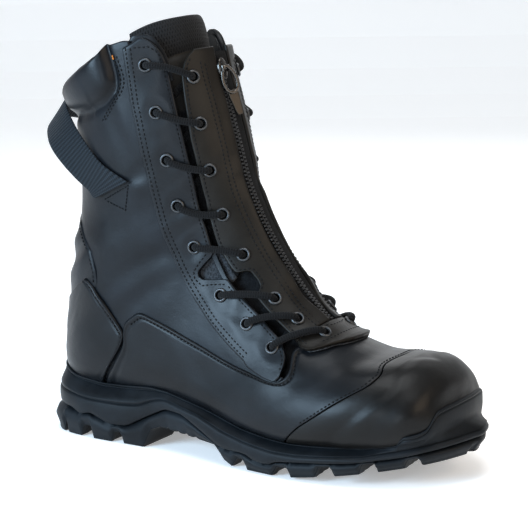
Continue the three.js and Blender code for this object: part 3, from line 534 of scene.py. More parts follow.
# shared tables, [row, girth] or [girth, row] in millimetres as in the part's source
facingEyelets = [(14.19, 53), (13.3, 53), (12.27, 53), (11.22, 53), (9.78, 52), (8.3, 51), (7.46, 47), (6.69, 44)]
panelEyelets = [(13.89, 26), (12.78, 28), (11.66, 28), (10.16, 27), (8.69, 25.5), (7.46, 24), (6.8, 21), (6.13, 15)]
facingFront = [(6.04, 55), (6.12, 50), (6.2, 45.5), (6.3, 42), (6.45, 39.6), (6.7, 37), (7.45, 37.5), (8, 40),
               (8.42, 41.2), (8.5, 42.5), (8.6, 47), (8.84, 56), (8.98, 57.5), (9.08, 56.5),
               (9.13, 54), (9.18, 44.5), (9.25, 41.5), (10, 40), (11.5, 39), (13, 40), (14.0, 39.6), (14.2, 40.3),
               (14.32, 42), (14.41, 44.8), (14.47, 48.5), (14.5, 53)]
facingBack = [(6.04, 57), (6.12, 58.8), (6.35, 61), (6.6, 62.8), (6.82, 64.4), (6.95, 63.6), (7.1, 64), (8, 67.5),
              (9.5, 68.5), (12.5, 69), (13.6, 68), (14.5, 65)]
collarLine = [(-1.2, .845), (-.9, .868), (-.78, .922), (-.66, .962), (-.56, .98), (-.46, .997), (-.35, 1), (-.2, .96)]
padFront = [(13.2, 118), (13.35, 99), (13.5, 93), (13.71, 85), (13.9, 77), (14.06, 74), (14.2, 75), (14.37, 77),
            (14.6, 80)]
padLow = 13.68
facingHigh = boot["gap"] + boot["overlay"]


# shaft leather with the padded collar and its lining, one closed band
collar = {"bulge": 9.4, "inward": 3.4, "softness": 7, "rowsOut": 112, "rowsIn": 42, "rim": 9, "around": 190,
          "firstRow": 5.96}


def padDistance(row, girth):
    front = abs(girth) - smoothLookup(padFront, row, 0.08)
    low = (row - padLow) * 25
    return min(front, low) if abs(front - low) > 12 else 0.5 * (front + low - hypot(front - low, 6))


def padSwell(row, girth):
    if row < 12.9 or abs(girth) < 66:
        return 0
    d = padDistance(row, girth)
    crease = -2.2 * exp(-(d / 2.3) ** 2)
    if d <= 0:
        return crease
    return crease + collar["bulge"] * (1 - exp(-d / collar["softness"]))


def padInward(row, girth):
    return collar["inward"] * blend(13.1, 13.7, row) * blend(80, 104, abs(girth))


def throatEdge(row):
    return min(61, lookup(facingBack, row) - 4)


def collarRow(side, share):
    low, high = 13.0, topOfForm - 0.01
    for _ in range(16):
        row = 0.5 * (low + high)
        half = halfGirth(row)
        girth = throatEdge(row) + share * (half - throatEdge(row))
        point = onForm(row, side * girth, 0)
        if point.z > boot["shaftHeight"] * lookup(collarLine, point.x / reach):
            high = row
        else:
            low = row
    return row


def buildShaft():
    rim, rowsOut = collar["rim"], collar["rowsOut"]
    count = rowsOut + rim + collar["rowsIn"]
    first = collar["firstRow"]
    tops = {}

    def place(u, v):
        j = round(v * count)
        side = -1 if u <= 0.5 else 1
        share = 2 * min(u, 1 - u)
        if (side, share) not in tops:
            tops[(side, share)] = collarRow(side, share)
        top = tops[(side, share)]

        def faces(row):
            edge = throatEdge(row)
            girth = side * (edge + share * (halfGirth(row) - edge))
            return girth, padSwell(row, girth) + surfaceRelief(row, girth), -boot["wall"] - padInward(row, girth)

        girth, outer, inner = faces(top)
        thick = 0.5 * (outer - inner)
        roll = top - 0.8 * thick / 25
        if j == count:
            return place(u, 0)
        if j <= rowsOut:
            row = first + (roll - first) * j / rowsOut
            girth, outer, _ = faces(row)
            return onForm(row, girth, outer)
        if j < rowsOut + rim:
            turn = pi * (j - rowsOut) / rim
            girth, outer, inner = faces(roll)
            point, normal, upward, _ = formFrame(roll, girth)
            out = 0.5 * (outer + inner) + 0.5 * (outer - inner) * cos(turn)
            return point + normal * out + upward * (0.8 * thick * sin(turn))
        row = roll + (first + 0.02 - roll) * (j - rowsOut - rim) / collar["rowsIn"]
        girth, _, inner = faces(row)
        return onForm(row, girth, inner)

    bm = bmesh.new()
    gridLayer(bm, spread(collar["around"]), [j / count for j in range(count + 1)], place)
    mergeVerts(bm)
    fillHoles(bm)
    faceOutward(bm)
    piece = finishMesh("shaft_leather", bm, "shaft", ["upper"])
    piece.data.materials.append(finishes["lining"])
    for polygon in piece.data.polygons:
        middle = polygon.center
        across = Vector((middle.x + 0.075, middle.y, 0)) if middle.z > 0.13 else Vector((0, middle.y, middle.z - 0.06))
        if polygon.normal.dot(across) < -0.0004:
            polygon.material_index = 1


buildShaft()
print("shaft built")


# vamp, toe cap and heel counter
toeCapEdge = [(0, 4.1), (17, 4.2), (24, 4.15), (35, 3.85), (46, 3.87), (64, 4.35), (83, 4.79), (110, 5.0)]
vampEdge = [(0, 6.08), (27, 6.1), (31, 6.27), (36, 6.31), (41, 6.17), (45, 6.04), (49, 5.96), (54, 5.94), (58, 6.0),
            (61, 6.2), (64, 6.6), (81, 7.8), (94, 8.56), (108.5, 9.31), (112, 9.335), (123, 9.36), (126, 9.24),
            (129, 9.06), (133, 8.95), (148, 8.82), (166, 8.74), (178, 8.6)]
counterFront = [(8.6, 180), (8.7, 174), (8.79, 165.9), (8.86, 148.4), (8.93, 138), (8.99, 132.7), (9.08, 128),
                (9.18, 126), (9.36, 126.5), (10.09, 129.8), (10.67, 134.1), (10.89, 137.6), (10.96, 140)]
stayFront = [(10.6, 133.5), (10.7, 131), (10.98, 128.8), (11.41, 130), (11.78, 138), (12.0, 145), (12.15, 156)]
vamp = {"wide": 172, "seamGap": 0.02}


def rolledEdge(inset):
    # bead along a turned-in edge, with the groove its seam lies in
    return 0.45 * exp(-((inset - 1.3) / 0.9) ** 2) - 0.55 * exp(-((inset - 2.9) / 0.75) ** 2)


def vampPlace(u, v):
    girth = vamp["wide"] * (2 * u - 1)
    side = abs(girth)
    front = smoothLookup(toeCapEdge, side, 3) + vamp["seamGap"]
    back = smoothLookup(vampEdge, side, 2.2)
    row = front + (back - front) * v
    limit = halfGirth(row) - 4
    girth = copysign(min(side, limit), girth)
    low = -boot["wall"] if row < 5.9 and side < 100 else 0.3
    return row, girth, low, facingHigh + rolledEdge((back - row) * lookup(rowPitch, row))


def buildOverlays():
    leatherSheet("vamp_leather", (170,), (60, 0.06, 9), vampPlace, "vamp", ["vamp"], size=(400, 70))

    def cap(u, v):
        girth = 112 * (2 * u - 1)
        edge = smoothLookup(toeCapEdge, abs(girth), 3)
        row = 0.15 + (edge - 0.15) * v
        limit = halfGirth(row) - 3
        girth *= min(1, limit / 112)
        side = abs(girth)
        ridge = blend(-0.3, 1, (row - capRidge(side)) / 0.3)
        return row, girth, -boot["wall"], facingHigh + 1.1 * (1 - ridge)

    leatherSheet("toe_cap_leather", (120,), (90, 0.012), cap, "toe", ["toe_cap"],
                 size=(400, 90))

    def counter(u, v):
        side = 2 * u - 1
        top = 10.97 + 0.05 * (1 - side * side)
        row = 8.6 + (top - 8.6) * v
        half = halfGirth(row)
        reachOut = half - smoothLookup(counterFront, row, 0.03) - 0.6
        bead = 1.5 * rolledEdge((1 - abs(side)) * reachOut)
        return row, half + side * reachOut, 0.3, facingHigh + 0.5 + bead

    leatherSheet("heel_counter_leather", (90, 0.06, 9), (84, 0.015), counter, "vamp",
                 ["heel_counter"], size=(90, 75))

    def backStay(u, v):
        side = 2 * u - 1
        row = 10.62 + (12.15 - 10.62) * v
        half = halfGirth(row)
        front = lookup(stayFront, row)
        swell = (1 - side ** 4) * (2.2 * exp(-((row - 11.74) / 0.14) ** 2)
                                   + 2.4 * exp(-((row - 11.34) / 0.16) ** 2))
        return row, half + side * (half - front), 0.0, 0.9 + swell

    leatherSheet("back_stay", (50, 0.03), (54, 0.04), backStay, "shaft", size=(60, 36))


capRidgeLine = [(0, 2.95), (10, 3.5), (20, 3.33), (33, 3.35), (44, 3.0), (60, 3.3), (76, 3.49), (110, 3.6)]


def capRidge(side):
    return smoothLookup(capRidgeLine, side, 5)


buildOverlays()
print("overlays built")


# facings, with their flex notch and eight holes each
def pointsOf(pairs, side, distance):
    return [onForm(row, side * girth, distance) * mm for row, girth in pairs]


def facingWhere(side):
    def where(u, v):
        row = 6.045 + (14.5 - 0.09 * u * u - 6.045) * v
        front = smoothLookup(facingFront, row, 0.015)
        back = lookup(facingBack, row)
        if row > 14.3:
            back -= 3 * blend(14.38, 14.5, row)
        girth = front + (back - front) * u
        ledge = throatEdge(row) - 0.8
        low = facingHigh - boot["facing"] if girth < ledge and row > 6.15 else 0.35
        return row, side * girth, low, facingHigh + 0.25
    return where


def buildFacings():
    for name, side in sides:
        leatherSheet(f"facing_leather_{name}", (30, 0.045), (215, 0.006), facingWhere(side), "facing",
                     [f"facing_{name}"], pointsOf(facingEyelets, side, facingHigh - 1), (28, 215), 1)

        def backing(u, v):
            topRow = (14.53 if side < 0 else 14.44) - 0.1 * blend(0.55, 1, u)
            row = 13.9 + (topRow - 13.9) * v
            turn = min(max((row - topRow + 0.46) / 0.46, 0), 1)
            front = 37.3 + 13 * (1 - sqrt(1 - turn * turn * 0.999))
            return row, side * (front + (65 - front) * u), -3.9, -2.8

        def flexStrip(u, v):
            row = 8.3 + (9.32 - 8.3) * v
            front = lookup([(8.3, 40.7), (8.5, 41.6), (9.3, 40.6)], row)
            return row, side * (front + 3.4 * u), -1.2, 0.2

        def felt(u, v):
            return 8.4 + 0.9 * v, side * (37 + 23 * u), -3.6, -2.6

        for part, columns, rows, where, finish, size, drop in (
                ("facing_backing", (24, 0.04), (30, 0.05), backing, "facing", (28, 16), 0.5),
                ("flex_strip", (8, 0.15), (30, 0.04), flexStrip, "facing", (3.4, 20), 0.5),
                ("flex_felt", (18,), (18,), felt, "felt", (22, 17), 0.9)):
            leatherSheet(f"{part}_{name}", columns, rows, where, finish, size=size, drop=drop)


buildFacings()


# zip panel in two halves with its bottom tab
panelEdge = [(5.72, .72), (5.8, .82), (5.95, .9), (6.1, .9), (6.6, .87), (7.7, .93), (7.78, .88), (7.86, .77),
             (8.0, .75), (8.28, .77), (8.36, .85), (8.44, 1.0), (8.6, 1.03), (9.3, 1.06), (11, .98), (12.5, 1.02),
             (13.4, .98), (13.95, .93), (14.12, .86), (14.22, .76), (14.3, .6)]
panel = {"girth": 35, "zipHalf": 7, "wall": 2.2, "rest": 0.6, "tabRise": 1.2, "slot": 6.35, "top": 14.3}


def panelLift(row):
    # the panel's inner face lies low in the throat and rises over the vamp at its tab
    return panel["rest"] + (facingHigh + panel["tabRise"] - panel["rest"]) * (1 - blend(6.0, 6.7, row))


tabLine = [(-1, 6.16), (-.98, 6.02), (-.93, 5.88), (-.82, 5.73), (-.5, 5.57), (-.2, 5.5), (.2, 5.47), (.6, 5.5),
           (.85, 5.58), (.95, 5.68), (1, 5.8)]


def panelSide(row):
    return panel["girth"] * smoothLookup(panelEdge, row, 0.02)


def buildPanel():
    for name, side in sides:
        def half(u, v):
            row = panel["slot"] + 0.02 + (panel["top"] - panel["slot"] - 0.02) * v
            inner = panel["zipHalf"] - 3.2 * (1 - blend(6.35, 7.3, row))
            low = panelLift(row)
            girth = inner + (panelSide(row) - inner) * u
            lift = 0.5 * blend(0.25, 0, u) * (1 + 0.5 * sin(row * 2.1))
            lift += 0.9 * sin(5.1 * row + 0.5 * side) * blend(8.6, 7.2, row) * blend(0.5, 0, u)
            return row, side * girth, low, low + panel["wall"] + lift

        leatherSheet(f"zip_panel_{name}", (30, 0.05), (190, 0.006), half, "panel",
                     ["zip_panel"] if side < 0 else (), pointsOf(panelEyelets[:7], side, panel["wall"]), (27, 190))

    def tab(u, v):
        across = 2 * u - 1
        low = lookup(tabLine, across)
        row = low + (panel["slot"] + 0.01 - low) * v
        girth = (panelSide(row) + 1.5 * (1 - v)) * across
        curl = 1.5 * (1 - v) ** 2 * abs(across) ** 2
        rest = panelLift(row) + curl
        return row, girth, rest, rest + panel["wall"] + 0.3 * sin(pi * u) ** 2

    holes = [onForm(row, side * girth, panelLift(row) + 1) * mm for row, girth in panelEyelets[7:]
             for side in (-1, 1)]
    leatherSheet("zip_panel_tab", (60, 0.02), (26, 0.05), tab, "panel", holes=holes,
                 size=(60, 15))

    def tabFelt(u, v):
        row, girth, low, _ = tab(0.02 + 0.96 * u, 0.03 + 0.6 * v)
        return row - 0.02, girth, low - 0.95, low - 0.1

    leatherSheet("zip_tab_felt", (40,), (12,), tabFelt, "felt", size=(60, 10))


buildPanel()
print("facings and panel built")


# solids of revolution and tubes placed on the form
def placeOnForm(bm, verts, row, girth, distance):
    point, normal, upward, inward = formFrame(row, girth)
    side = upward.cross(normal).normalized()
    up = normal.cross(side)
    turn = Matrix((side, up, normal)).transposed().to_4x4()
    turn.translation = (point + normal * distance)
    bmesh.ops.transform(bm, matrix=Matrix.Scale(mm, 4) @ turn, verts=verts)


eyelet = {"hole": 2.8, "rim": 4.55, "height": 0.95, "steps": 26}


def buildEyelets():
    hole, rim, height = eyelet["hole"], eyelet["rim"], eyelet["height"]
    middle = 0.5 * (hole + rim)
    outline = [(hole - 0.15, -2.6), (hole, 0.1), (hole + 0.12, height * 0.6), (middle - 0.35, height),
               (middle + 0.2, height * 0.95), (rim - 0.25, height * 0.45), (rim, 0.0), (rim - 0.1, -0.35),
               (middle, -0.4), (hole + 0.2, -2.6)]
    for sideName, side in sides:
        for kind, places in (("facing", facingEyelets), ("panel", panelEyelets)):
            bm = bmesh.new()
            for row, girth in places:
                verts = [bmesh.ops.create_vert(bm, co=(r, 0, z))["vert"][0] for r, z in outline]
                edges = [bm.edges.new((a, b)) for a, b in zip(verts, verts[1:] + verts[:1])]
                before = set(bm.verts)
                bmesh.ops.spin(bm, geom=verts + edges, cent=(0, 0, 0), axis=(0, 0, 1), angle=2 * pi,
                               steps=eyelet["steps"], use_merge=True)
                made = [v for v in verts if v.is_valid] + [v for v in bm.verts if v not in before]
                seat = facingHigh + 0.5 if kind == "facing" else panelLift(row) + panel["wall"] + 0.45
                placeOnForm(bm, made, row, side * girth, seat)
            mergeVerts(bm)
            faceOutward(bm)
            nodes = [f"eyelet_{kind}_{sideName}_{i + 1}" for i in range(8)]
            finishMesh(f"eyelets_{kind}_{sideName}", bm, "eyelet", nodes)


def smoothPath(points, count):
    dense = []
    last = len(points) - 1
    for i in range(last):
        four = [points[min(max(i + k, 0), last)] for k in (-1, 0, 1, 2)]
        dense += [spline(*four, k / 12) for k in range(12)]
    dense.append(points[-1])
    lengths = [0.0]
    for a, b in zip(dense, dense[1:]):
        lengths.append(lengths[-1] + (b - a).length)
    path = []
    for i in range(count + 1):
        want = lengths[-1] * i / count
        k = min(bisect_right(lengths, want) - 1, len(dense) - 2)
        f = (want - lengths[k]) / max(lengths[k + 1] - lengths[k], 1e-9)
        path.append(dense[k].lerp(dense[k + 1], min(f, 1)))
    return path, lengths[-1]


tubeRound = 12.6  # girth in mm that a tube's pattern is drawn for


def tubeInto(bm, path, length, wide, high, around, hint):
    frames = []
    across = hint.copy()
    for i, at in enumerate(path):
        run = (path[min(i + 1, len(path) - 1)] - path[max(i - 1, 0)]).normalized()
        across = (across - run * across.dot(run)).normalized()
        frames.append((at, across * wide, run.cross(across) * high))
    last = len(path) - 1

    def place(u, v):
        at, first, second = frames[round(v * last)]
        return at + first * cos(2 * pi * u) + second * sin(2 * pi * u)

    made = gridLayer(bm, [i / around for i in range(around + 1)], [i / last for i in range(last + 1)], place,
                     lambda u, v: (u * tubeRound, v * length))
    mergeVerts(bm, made)


lace = {"radius": 2.25, "link": 0.65, "lane": boot["overlay"] - boot["facing"] - 0.9 - 0.65, "around": 14,
        "bows": [1.3, -0.9, -0.8, -0.7, 0.3, 0.9, 1.6, 1.2], "lifts": [1.5, 1.0, 0.9, 0.9, 1.0, 1.4, 1.8, 1.5]}


def buildLaces():
    lane, radius = lace["lane"], lace["radius"]
    for name, side in sides:
        bm = bmesh.new()
        for i, ((rowA, offA), (rowB, offB)) in enumerate(zip(facingEyelets, panelEyelets)):
            seatA = facingHigh + 1.3
            seatB = panelLift(rowB) + panel["wall"] + 1.2
            points = [onForm(rowA, side * offA, lane), onForm(rowA, side * offA, 0.2)]
            for t in (0.07, 0.2, 0.4, 0.6, 0.8, 0.93):
                arch = sin(pi * t)
                seat = seatA + (seatB - seatA) * t + radius * 0.75 * min(1, 6 * min(t, 1 - t))
                row = rowA + (rowB - rowA) * t + 0.05 * lace["bows"][i] * arch
                points.append(onForm(row, side * (offA + (offB - offA) * t), seat + lace["lifts"][i] * arch * 0.6))
            points += [onForm(rowB, side * offB, 0.6), onForm(rowB, side * offB, lane)]
            tubeInto(bm, *smoothPath(points, 54), radius, radius, lace["around"], formFrame(rowA, side * offA)[2])
            if i < 7:
                rowC, offC = facingEyelets[i + 1]
                link = [onForm(row, side * girth, lane) for row, girth in (
                    (rowB, offB), (0.5 * (rowB + rowC), 0.5 * (offB + offC)), (rowC, offC))]
                tubeInto(bm, *smoothPath(link, 14), radius, 0.62, 10, formFrame(rowB, side * offB)[2])
        fillHoles(bm)
        faceOutward(bm)
        finishMesh(f"lace_cord_{name}", bm, "lace", [f"lace_{name}"])


buildEyelets()
buildLaces()
print("eyelets and laces built")


# zip: tape, two rows of teeth, slider and pull
zipper = {"pitch": 2.45, "tooth": (3.0, 1.45, 1.5), "tapeHalf": 6.7, "tape": 0.9, "from": 6.42, "to": 13.75,
          "sliderRow": 13.94, "shift": -4, "sliderShift": -4.4, "seat": 2.6, "pin": 3.7}
pull = {"wide": 4.9, "long": 8.6, "centre": -7.4, "wire": 1.1, "tabWide": 3.9, "tabLong": 8.2, "tabCentre": -22.6}


def block(bm, size, spot=(0, 0, 0)):
    verts = bmesh.ops.create_cube(bm, size=1)["verts"]
    bmesh.ops.scale(bm, vec=size, verts=verts)
    bmesh.ops.translate(bm, vec=spot, verts=verts)
    return verts


def bevelEdges(bm, edges, offset, segments=2):
    bmesh.ops.bevel(bm, geom=list(edges), offset=offset, segments=segments, affect="EDGES", profile=0.5, material=-1)


def edgesOf(verts):
    return {e for v in verts for e in v.link_edges}


def buildTape():
    def where(u, v):
        row = panel["slot"] + 0.03 + (panel["top"] - panel["slot"] - 0.1) * v
        return row, zipper["tapeHalf"] * (2 * u - 1), panelLift(row), panelLift(row) + zipper["tape"]

    bm = bmesh.new()
    sheetInto(bm, spread(8), spread(120), where)
    bridgeRims(bm)
    finishMesh("zip_tape_cloth", bm, "tape", ["zip_tape"])


def buildTeeth():
    rows = []
    row = zipper["from"]
    while row < zipper["to"]:
        rows.append(row)
        step = (onForm(row + 0.02, 0, 2) - onForm(row, 0, 2)).length / 0.02
        row += 0.5 * zipper["pitch"] / step
    bm = bmesh.new()
    for i, row in enumerate(rows):
        side = 1 if i % 2 else -1
        made = block(bm, zipper["tooth"])
        for vert in made:
            if vert.co.x * side > 0:
                vert.co.y *= 0.62
        before = set(bm.verts)
        bevelEdges(bm, edgesOf(made), 0.25, 1)
        made = {v for v in made if v.is_valid} | {v for v in bm.verts if v not in before}
        placeOnForm(bm, list(made), row, zipper["shift"] * blend(6.4, 8, row) + side * -0.95,
                    panelLift(row) + zipper["tape"] + 0.5)
    faceOutward(bm)
    finishMesh("zip_teeth", bm, "teeth", ["zip_chain"], smooth=False)


def buildSlider():
    bm = bmesh.new()
    for vert in bmesh.ops.create_circle(bm, cap_ends=True, radius=1, segments=28)["verts"]:
        y = vert.co.y
        vert.co.x = vert.co.x * (4.4 - 1.2 * blend(0, -1, y))
        vert.co.y = y * 7.4
    top = bmesh.ops.extrude_face_region(bm, geom=bm.faces[:])["geom"]
    lifted = [g for g in top if isinstance(g, bmesh.types.BMVert)]
    bmesh.ops.translate(bm, vec=(0, 0, 2.4), verts=lifted)
    bmesh.ops.scale(bm, vec=(0.86, 0.93, 1), verts=lifted)
    faceOutward(bm)
    bevelEdges(bm, [e for e in bm.edges if e.calc_face_angle(0) > 0.7], 0.5)
    for x in (-2.9, 2.9):
        bevelEdges(bm, edgesOf(block(bm, (1.2, 4.2, 3.2), (x, 0, 3.0))), 0.4)
    pin = bmesh.ops.create_cone(bm, cap_ends=True, segments=14, radius1=0.8, radius2=0.8, depth=6.2)["verts"]
    bmesh.ops.rotate(bm, verts=pin, cent=(0, 0, 0), matrix=Matrix.Rotation(pi / 2, 3, "Y"))
    bmesh.ops.translate(bm, vec=(0, 0, zipper["pin"]), verts=pin)
    placeOnForm(bm, bm.verts[:], zipper["sliderRow"], zipper["sliderShift"], zipper["seat"])
    finishMesh("zip_slider_body", bm, "zipMetal", ["zip_slider"])


def buildPull():
    bm = bmesh.new()
    ring = []
    for k in range(48):
        a = 2 * pi * k / 48
        ring.append(Vector((pull["wide"] * sin(a) * (1 - 0.2 * cos(a)),
                            pull["centre"] + pull["long"] * cos(a), zipper["pin"])))
    tubeInto(bm, ring + [ring[0]], 40, pull["wire"], pull["wire"], 12, Vector((0, 0, 1)))
    bmesh.ops.scale(bm, vec=(1 / mm, 1 / mm, 1 / mm), verts=bm.verts[:])
    mergeVerts(bm, distance=0.05)
    ringFaces = len(bm.faces)
    tab = bmesh.ops.create_grid(bm, x_segments=10, y_segments=22, size=1)["verts"]
    for vert in tab:
        y = vert.co.y
        wide = pull["tabWide"] * (0.78 + 0.22 * y) * (1 - 0.35 * abs(y) ** 6)
        vert.co = Vector((vert.co.x * wide, pull["tabCentre"] + pull["tabLong"] * y, 3.2))
    tabFaces = list({f for v in tab for f in v.link_faces})
    bmesh.ops.recalc_face_normals(bm, faces=tabFaces)
    bmesh.ops.solidify(bm, geom=tabFaces, thickness=1.2)
    turn = Matrix.Rotation(radians(10), 4, "Z") @ Matrix.Rotation(radians(-22), 4, "Y")
    pin = Matrix.Translation((0, 0, zipper["pin"]))
    bmesh.ops.transform(bm, matrix=pin @ turn @ pin.inverted(), verts=bm.verts)
    placeOnForm(bm, bm.verts[:], zipper["sliderRow"], zipper["sliderShift"], zipper["seat"])
    faceOutward(bm)
    piece = finishMesh("zip_pull_tab", bm, "pullMetal", ["zip_pull"], body="zip_pull")
    piece.data.materials.append(finishes["zipMetal"])
    for polygon in piece.data.polygons[:ringFaces]:
        polygon.material_index = 1


buildTape()
buildTeeth()
buildSlider()
buildPull()
print("zip built")


# tongue, padded, with its perforated top band
tongue = {"from": 5.1, "top": 14.78, "half": 66, "wall": 7.4, "flank": 2.8, "lean": 6, "band": 0.953,
          "uvWide": 132, "uvLong": 250, "liningTop": 0.84}
laneFloor = lace["lane"] - lace["link"] - 2.1


def buildTongue():
    def where(u, v):
        side = 2 * u - 1
        spreadOut = tongue["half"] * (0.62 + 0.38 * blend(tongue["from"], 7, tongue["from"] + 9.7 * v))
        top = tongue["top"] - 0.24 * abs(side) ** 1.8
        row = tongue["from"] + (top - tongue["from"]) * v
        over = blend(13.7, 14.6, row)
        lift = blend(6.9, 7.3, row) * (1 - blend(13.7, 14.2, row))
        rise = (1 - blend(0.24, 0.36, abs(side))) * lift
        high = laneFloor + (panel["rest"] - 0.9 - laneFloor) * rise - tongue["lean"] * over
        free = blend(6.3, 6.7, row)
        depth = tongue["flank"] + (tongue["wall"] - tongue["flank"]) * blend(0.95, 0.7, abs(side)) * (
            0.35 + 0.65 * free)
        inBand = (v - tongue["band"]) / (1 - tongue["band"])
        seam = exp(-(inBand / 0.12) ** 2)
        puff = 1.0 * sin(pi * min(max(inBand, 0), 1)) - 0.9 * seam
        rounding = edgeDrop(min(abs(1 - abs(side)) * 60, (1 - v) * 200), 3.2) * 0.5
        return row, spreadOut * side, high - depth + rounding, high - rounding + puff * (abs(side) < 0.9)

    bm = bmesh.new()
    vs = sorted(set(spread(150, 0.012) + [tongue["band"] + k * 0.0022 for k in (-2, -1, 0, 1, 2)]))
    sheetInto(bm, spread(64, 0.02), vs, where, lambda u, v: (u * tongue["uvWide"], v * tongue["uvLong"]))
    bridgeRims(bm)
    piece = finishMesh("tongue_pad", bm, "panel", ["tongue"])
    piece.data.materials.append(finishes["mesh"])
    piece.data.materials.append(finishes["lining"])
    uvLayer = piece.data.uv_layers[0].data
    for polygon in piece.data.polygons:
        high = sum(uvLayer[i].uv[1] for i in polygon.loop_indices) / len(polygon.loop_indices)
        if high > tongue["uvLong"] * tongue["band"] or polygon.normal.x < -0.3:
            polygon.material_index = 1
        elif high < tongue["uvLong"] * tongue["liningTop"]:
            polygon.material_index = 2


buildTongue()
print("tongue built")


# pull loop of ribbed webbing
loopRoute = [(12.18, .57, -.3), (12.4, .625, .2), (12.78, .7, 3.4), (13.3, .785, 8.6), (13.7, .88, 11.2),
             (13.85, .96, 11.8), (13.87, 1, 11.9)]
webbing = {"lean": -50, "half": 11.2, "endHalf": 15.4, "endLong": 17, "thick": 0.85, "steps": 150}


def buildLoop():
    half = [(row, share * halfGirth(row), stand + 1.9) for row, share, stand in loopRoute]
    route = half + [(row, -girth, stand) for row, girth, stand in reversed(half[:-1])]
    steps = webbing["steps"]
    path, length = smoothPath([onForm(*stop) for stop in route], steps)
    frames = []
    for i, at in enumerate(path):
        run = (path[min(i + 1, steps)] - path[max(i - 1, 0)]).normalized()
        k = i / steps * (len(route) - 1)
        a, b = (formFrame(*route[min(int(k) + n, len(route) - 1)][:2])[1] for n in (0, 1))
        face = a.lerp(b, k - int(k))
        share = min(i, steps - i) / steps
        lean = radians(webbing["lean"]) * blend(0.03, 0.3, share) * (1 - 0.24 * blend(0.34, 0.5, share))
        face = Matrix.Rotation(lean, 3, run) @ face
        face = (face - run * face.dot(run)).normalized()
        wide = run.cross(face) * webbing["half"]
        level = formFrame(*route[0 if k < 6 else -1][:2])[3]
        level = level * copysign(webbing["endHalf"], level.dot(wide))
        frames.append((at, wide.lerp(level, blend(webbing["endLong"], 0, share * length)), face))

    def place(offset):
        def spot(u, v):
            at, wide, face = frames[round(v * steps)]
            x = 2 * u - 1
            thin = 0.25 + 0.75 * sqrt(max(1 - abs(x) ** 10, 0))
            return at + wide * x + face * (offset * thin)
        return spot

    bm = bmesh.new()
    for offset in (webbing["thick"], -webbing["thick"]):
        gridLayer(bm, spread(20, 0.03), spread(steps), place(offset), lambda u, v: (u * 20, v * length))
    bridgeRims(bm)
    finishMesh("pull_loop_webbing", bm, "webbing", ["pull_loop"])


buildLoop()
print("pull loop built")


# sole
soleOutline = [
    (-1, 0, 0), (-.985, .27, .26), (-.93, .5, .48), (-.83, .66, .64), (-.68, .73, .7), (-.487, .735, .63),
    (-.292, .768, .59), (-.097, .84, .66), (.13, .946, .82), (.338, 1, .946), (.506, .982, 1),
    (.662, .893, .964), (.792, .714, .857), (.9, .464, .66), (.968, .16, .39), (1, -.09, .09),
]
rimLine = [(-1, 1.53), (-.93, 1.45), (-.82, 1.32), (-.68, 1.24), (-.54, 1.28), (-.4, 1.36), (-.31, 1.33),
           (-.24, 1.25), (-.04, 1), (.08, .84), (.21, .757), (.3, .723), (.39, .735), (.65, .82), (.81, .97),
           (1, 1.2)]
grooveLine = [(-1, 1), (-.84, .96), (-.71, .907), (-.54, .9), (-.45, .94), (-.36, 1.12), (-.3, 1.18),
              (-.12, .99), (0, .77), (.13, .63), (.26, .55), (.37, .557), (.65, .68), (.81, .84), (1, 1.07)]
partingLine = [(-1, .64), (-.825, .62), (-.76, .52), (-.7, .6), (-.6, .41), (-.51, .43), (-.42, .67), (-.3, .97),
               (-.21, .94), (-.16, .82), (-.06, .56), (0, .4), (.06, .39), (.13, .4), (.18, .28), (.25, .26),
               (.28, .35), (.37, .41), (.6, .52), (.8, .69), (1, .93)]
treadLine = [(-1, .1), (-.95, .02), (-.9, 0), (-.43, 0), (-.39, .42), (-.34, .52), (-.16, .44), (-.03, .38),
             (0, .12), (.05, 0), (.3, 0)]
guardTop = [(117, 0), (119.5, 26), (123, 34.5), (131, 36.5), (135, 39), (138, 46), (140.5, 49), (146, 50),
            (160, 51)]
lugGaps = [(-.85, 3, 7), (-.705, 9, 8), (-.545, 8, 7), (.105, 9, 6), (.315, 11, 6), (.51, 11, 6), (.69, 10, 6),
           (.85, 8, 5)]
archRibs = [-.29, -.24, -.19, -.14]
sole = {"stations": 150, "springStart": 0.3, "springCurve": 1.1}


def heelStep(x):
    # how far the rubber above the heel lugs is set in
    return 3.6 * blend(-112, -146, x)


def heightOn(table, x):
    return boot["soleHeel"] * smoothLookup(table, x / reach, 0.012)


def treadHeight(x):
    start = sole["springStart"] * reach
    rise = boot["toeSpring"] * ((x - start) / (reach - start)) ** sole["springCurve"] if x > start else 0
    return boot["soleHeel"] * lookup(treadLine, x / reach) + rise


planCache = {}


def planPlace(t, side):
    # a spot on the sole's outline and its way out, evened so that both tips are round
    key = (round(t, 6), side)
    if key in planCache:
        return planCache[key]

    def at(place):
        way = side if 0 <= place <= 1 else -side
        place = 1 - abs(1 - abs(place))
        x, outer, inner = along(soleOutline, place * (len(soleOutline) - 1))
        return Vector((x * reach, -outer * ballHalf if way < 0 else inner * ballHalf))

    def even(place):
        return sum((at(place + 0.01 * k) for k in range(-2, 3)), Vector((0, 0))) / 5

    here = even(t)
    run = (even(t + 0.012) - even(t - 0.012)).normalized()
    out = Vector((-run.y * side, run.x * side))
    for end, radius, way in ((soleOutline[-1], 46, 1), (soleOutline[0], 34, -1)):
        middle = Vector((end[0] * reach - way * radius, end[2] * ballHalf))
        near = blend(0, radius * 0.6, way * (here.x - middle.x))
        if near > 0:
            out = out.lerp((here - middle).normalized(), near).normalized()
            here = here + out * 1.4 * near
    planCache[key] = here, out
    return here, out


def planSpot(t, side, inset):
    here, out = planPlace(t, side)
    return here - out * inset


def stationShare(i):
    t = i / sole["stations"]
    return t - 0.06 * sin(2 * pi * t)


def guardHeight(x):
    return smoothLookup(guardTop, x, 0.8)


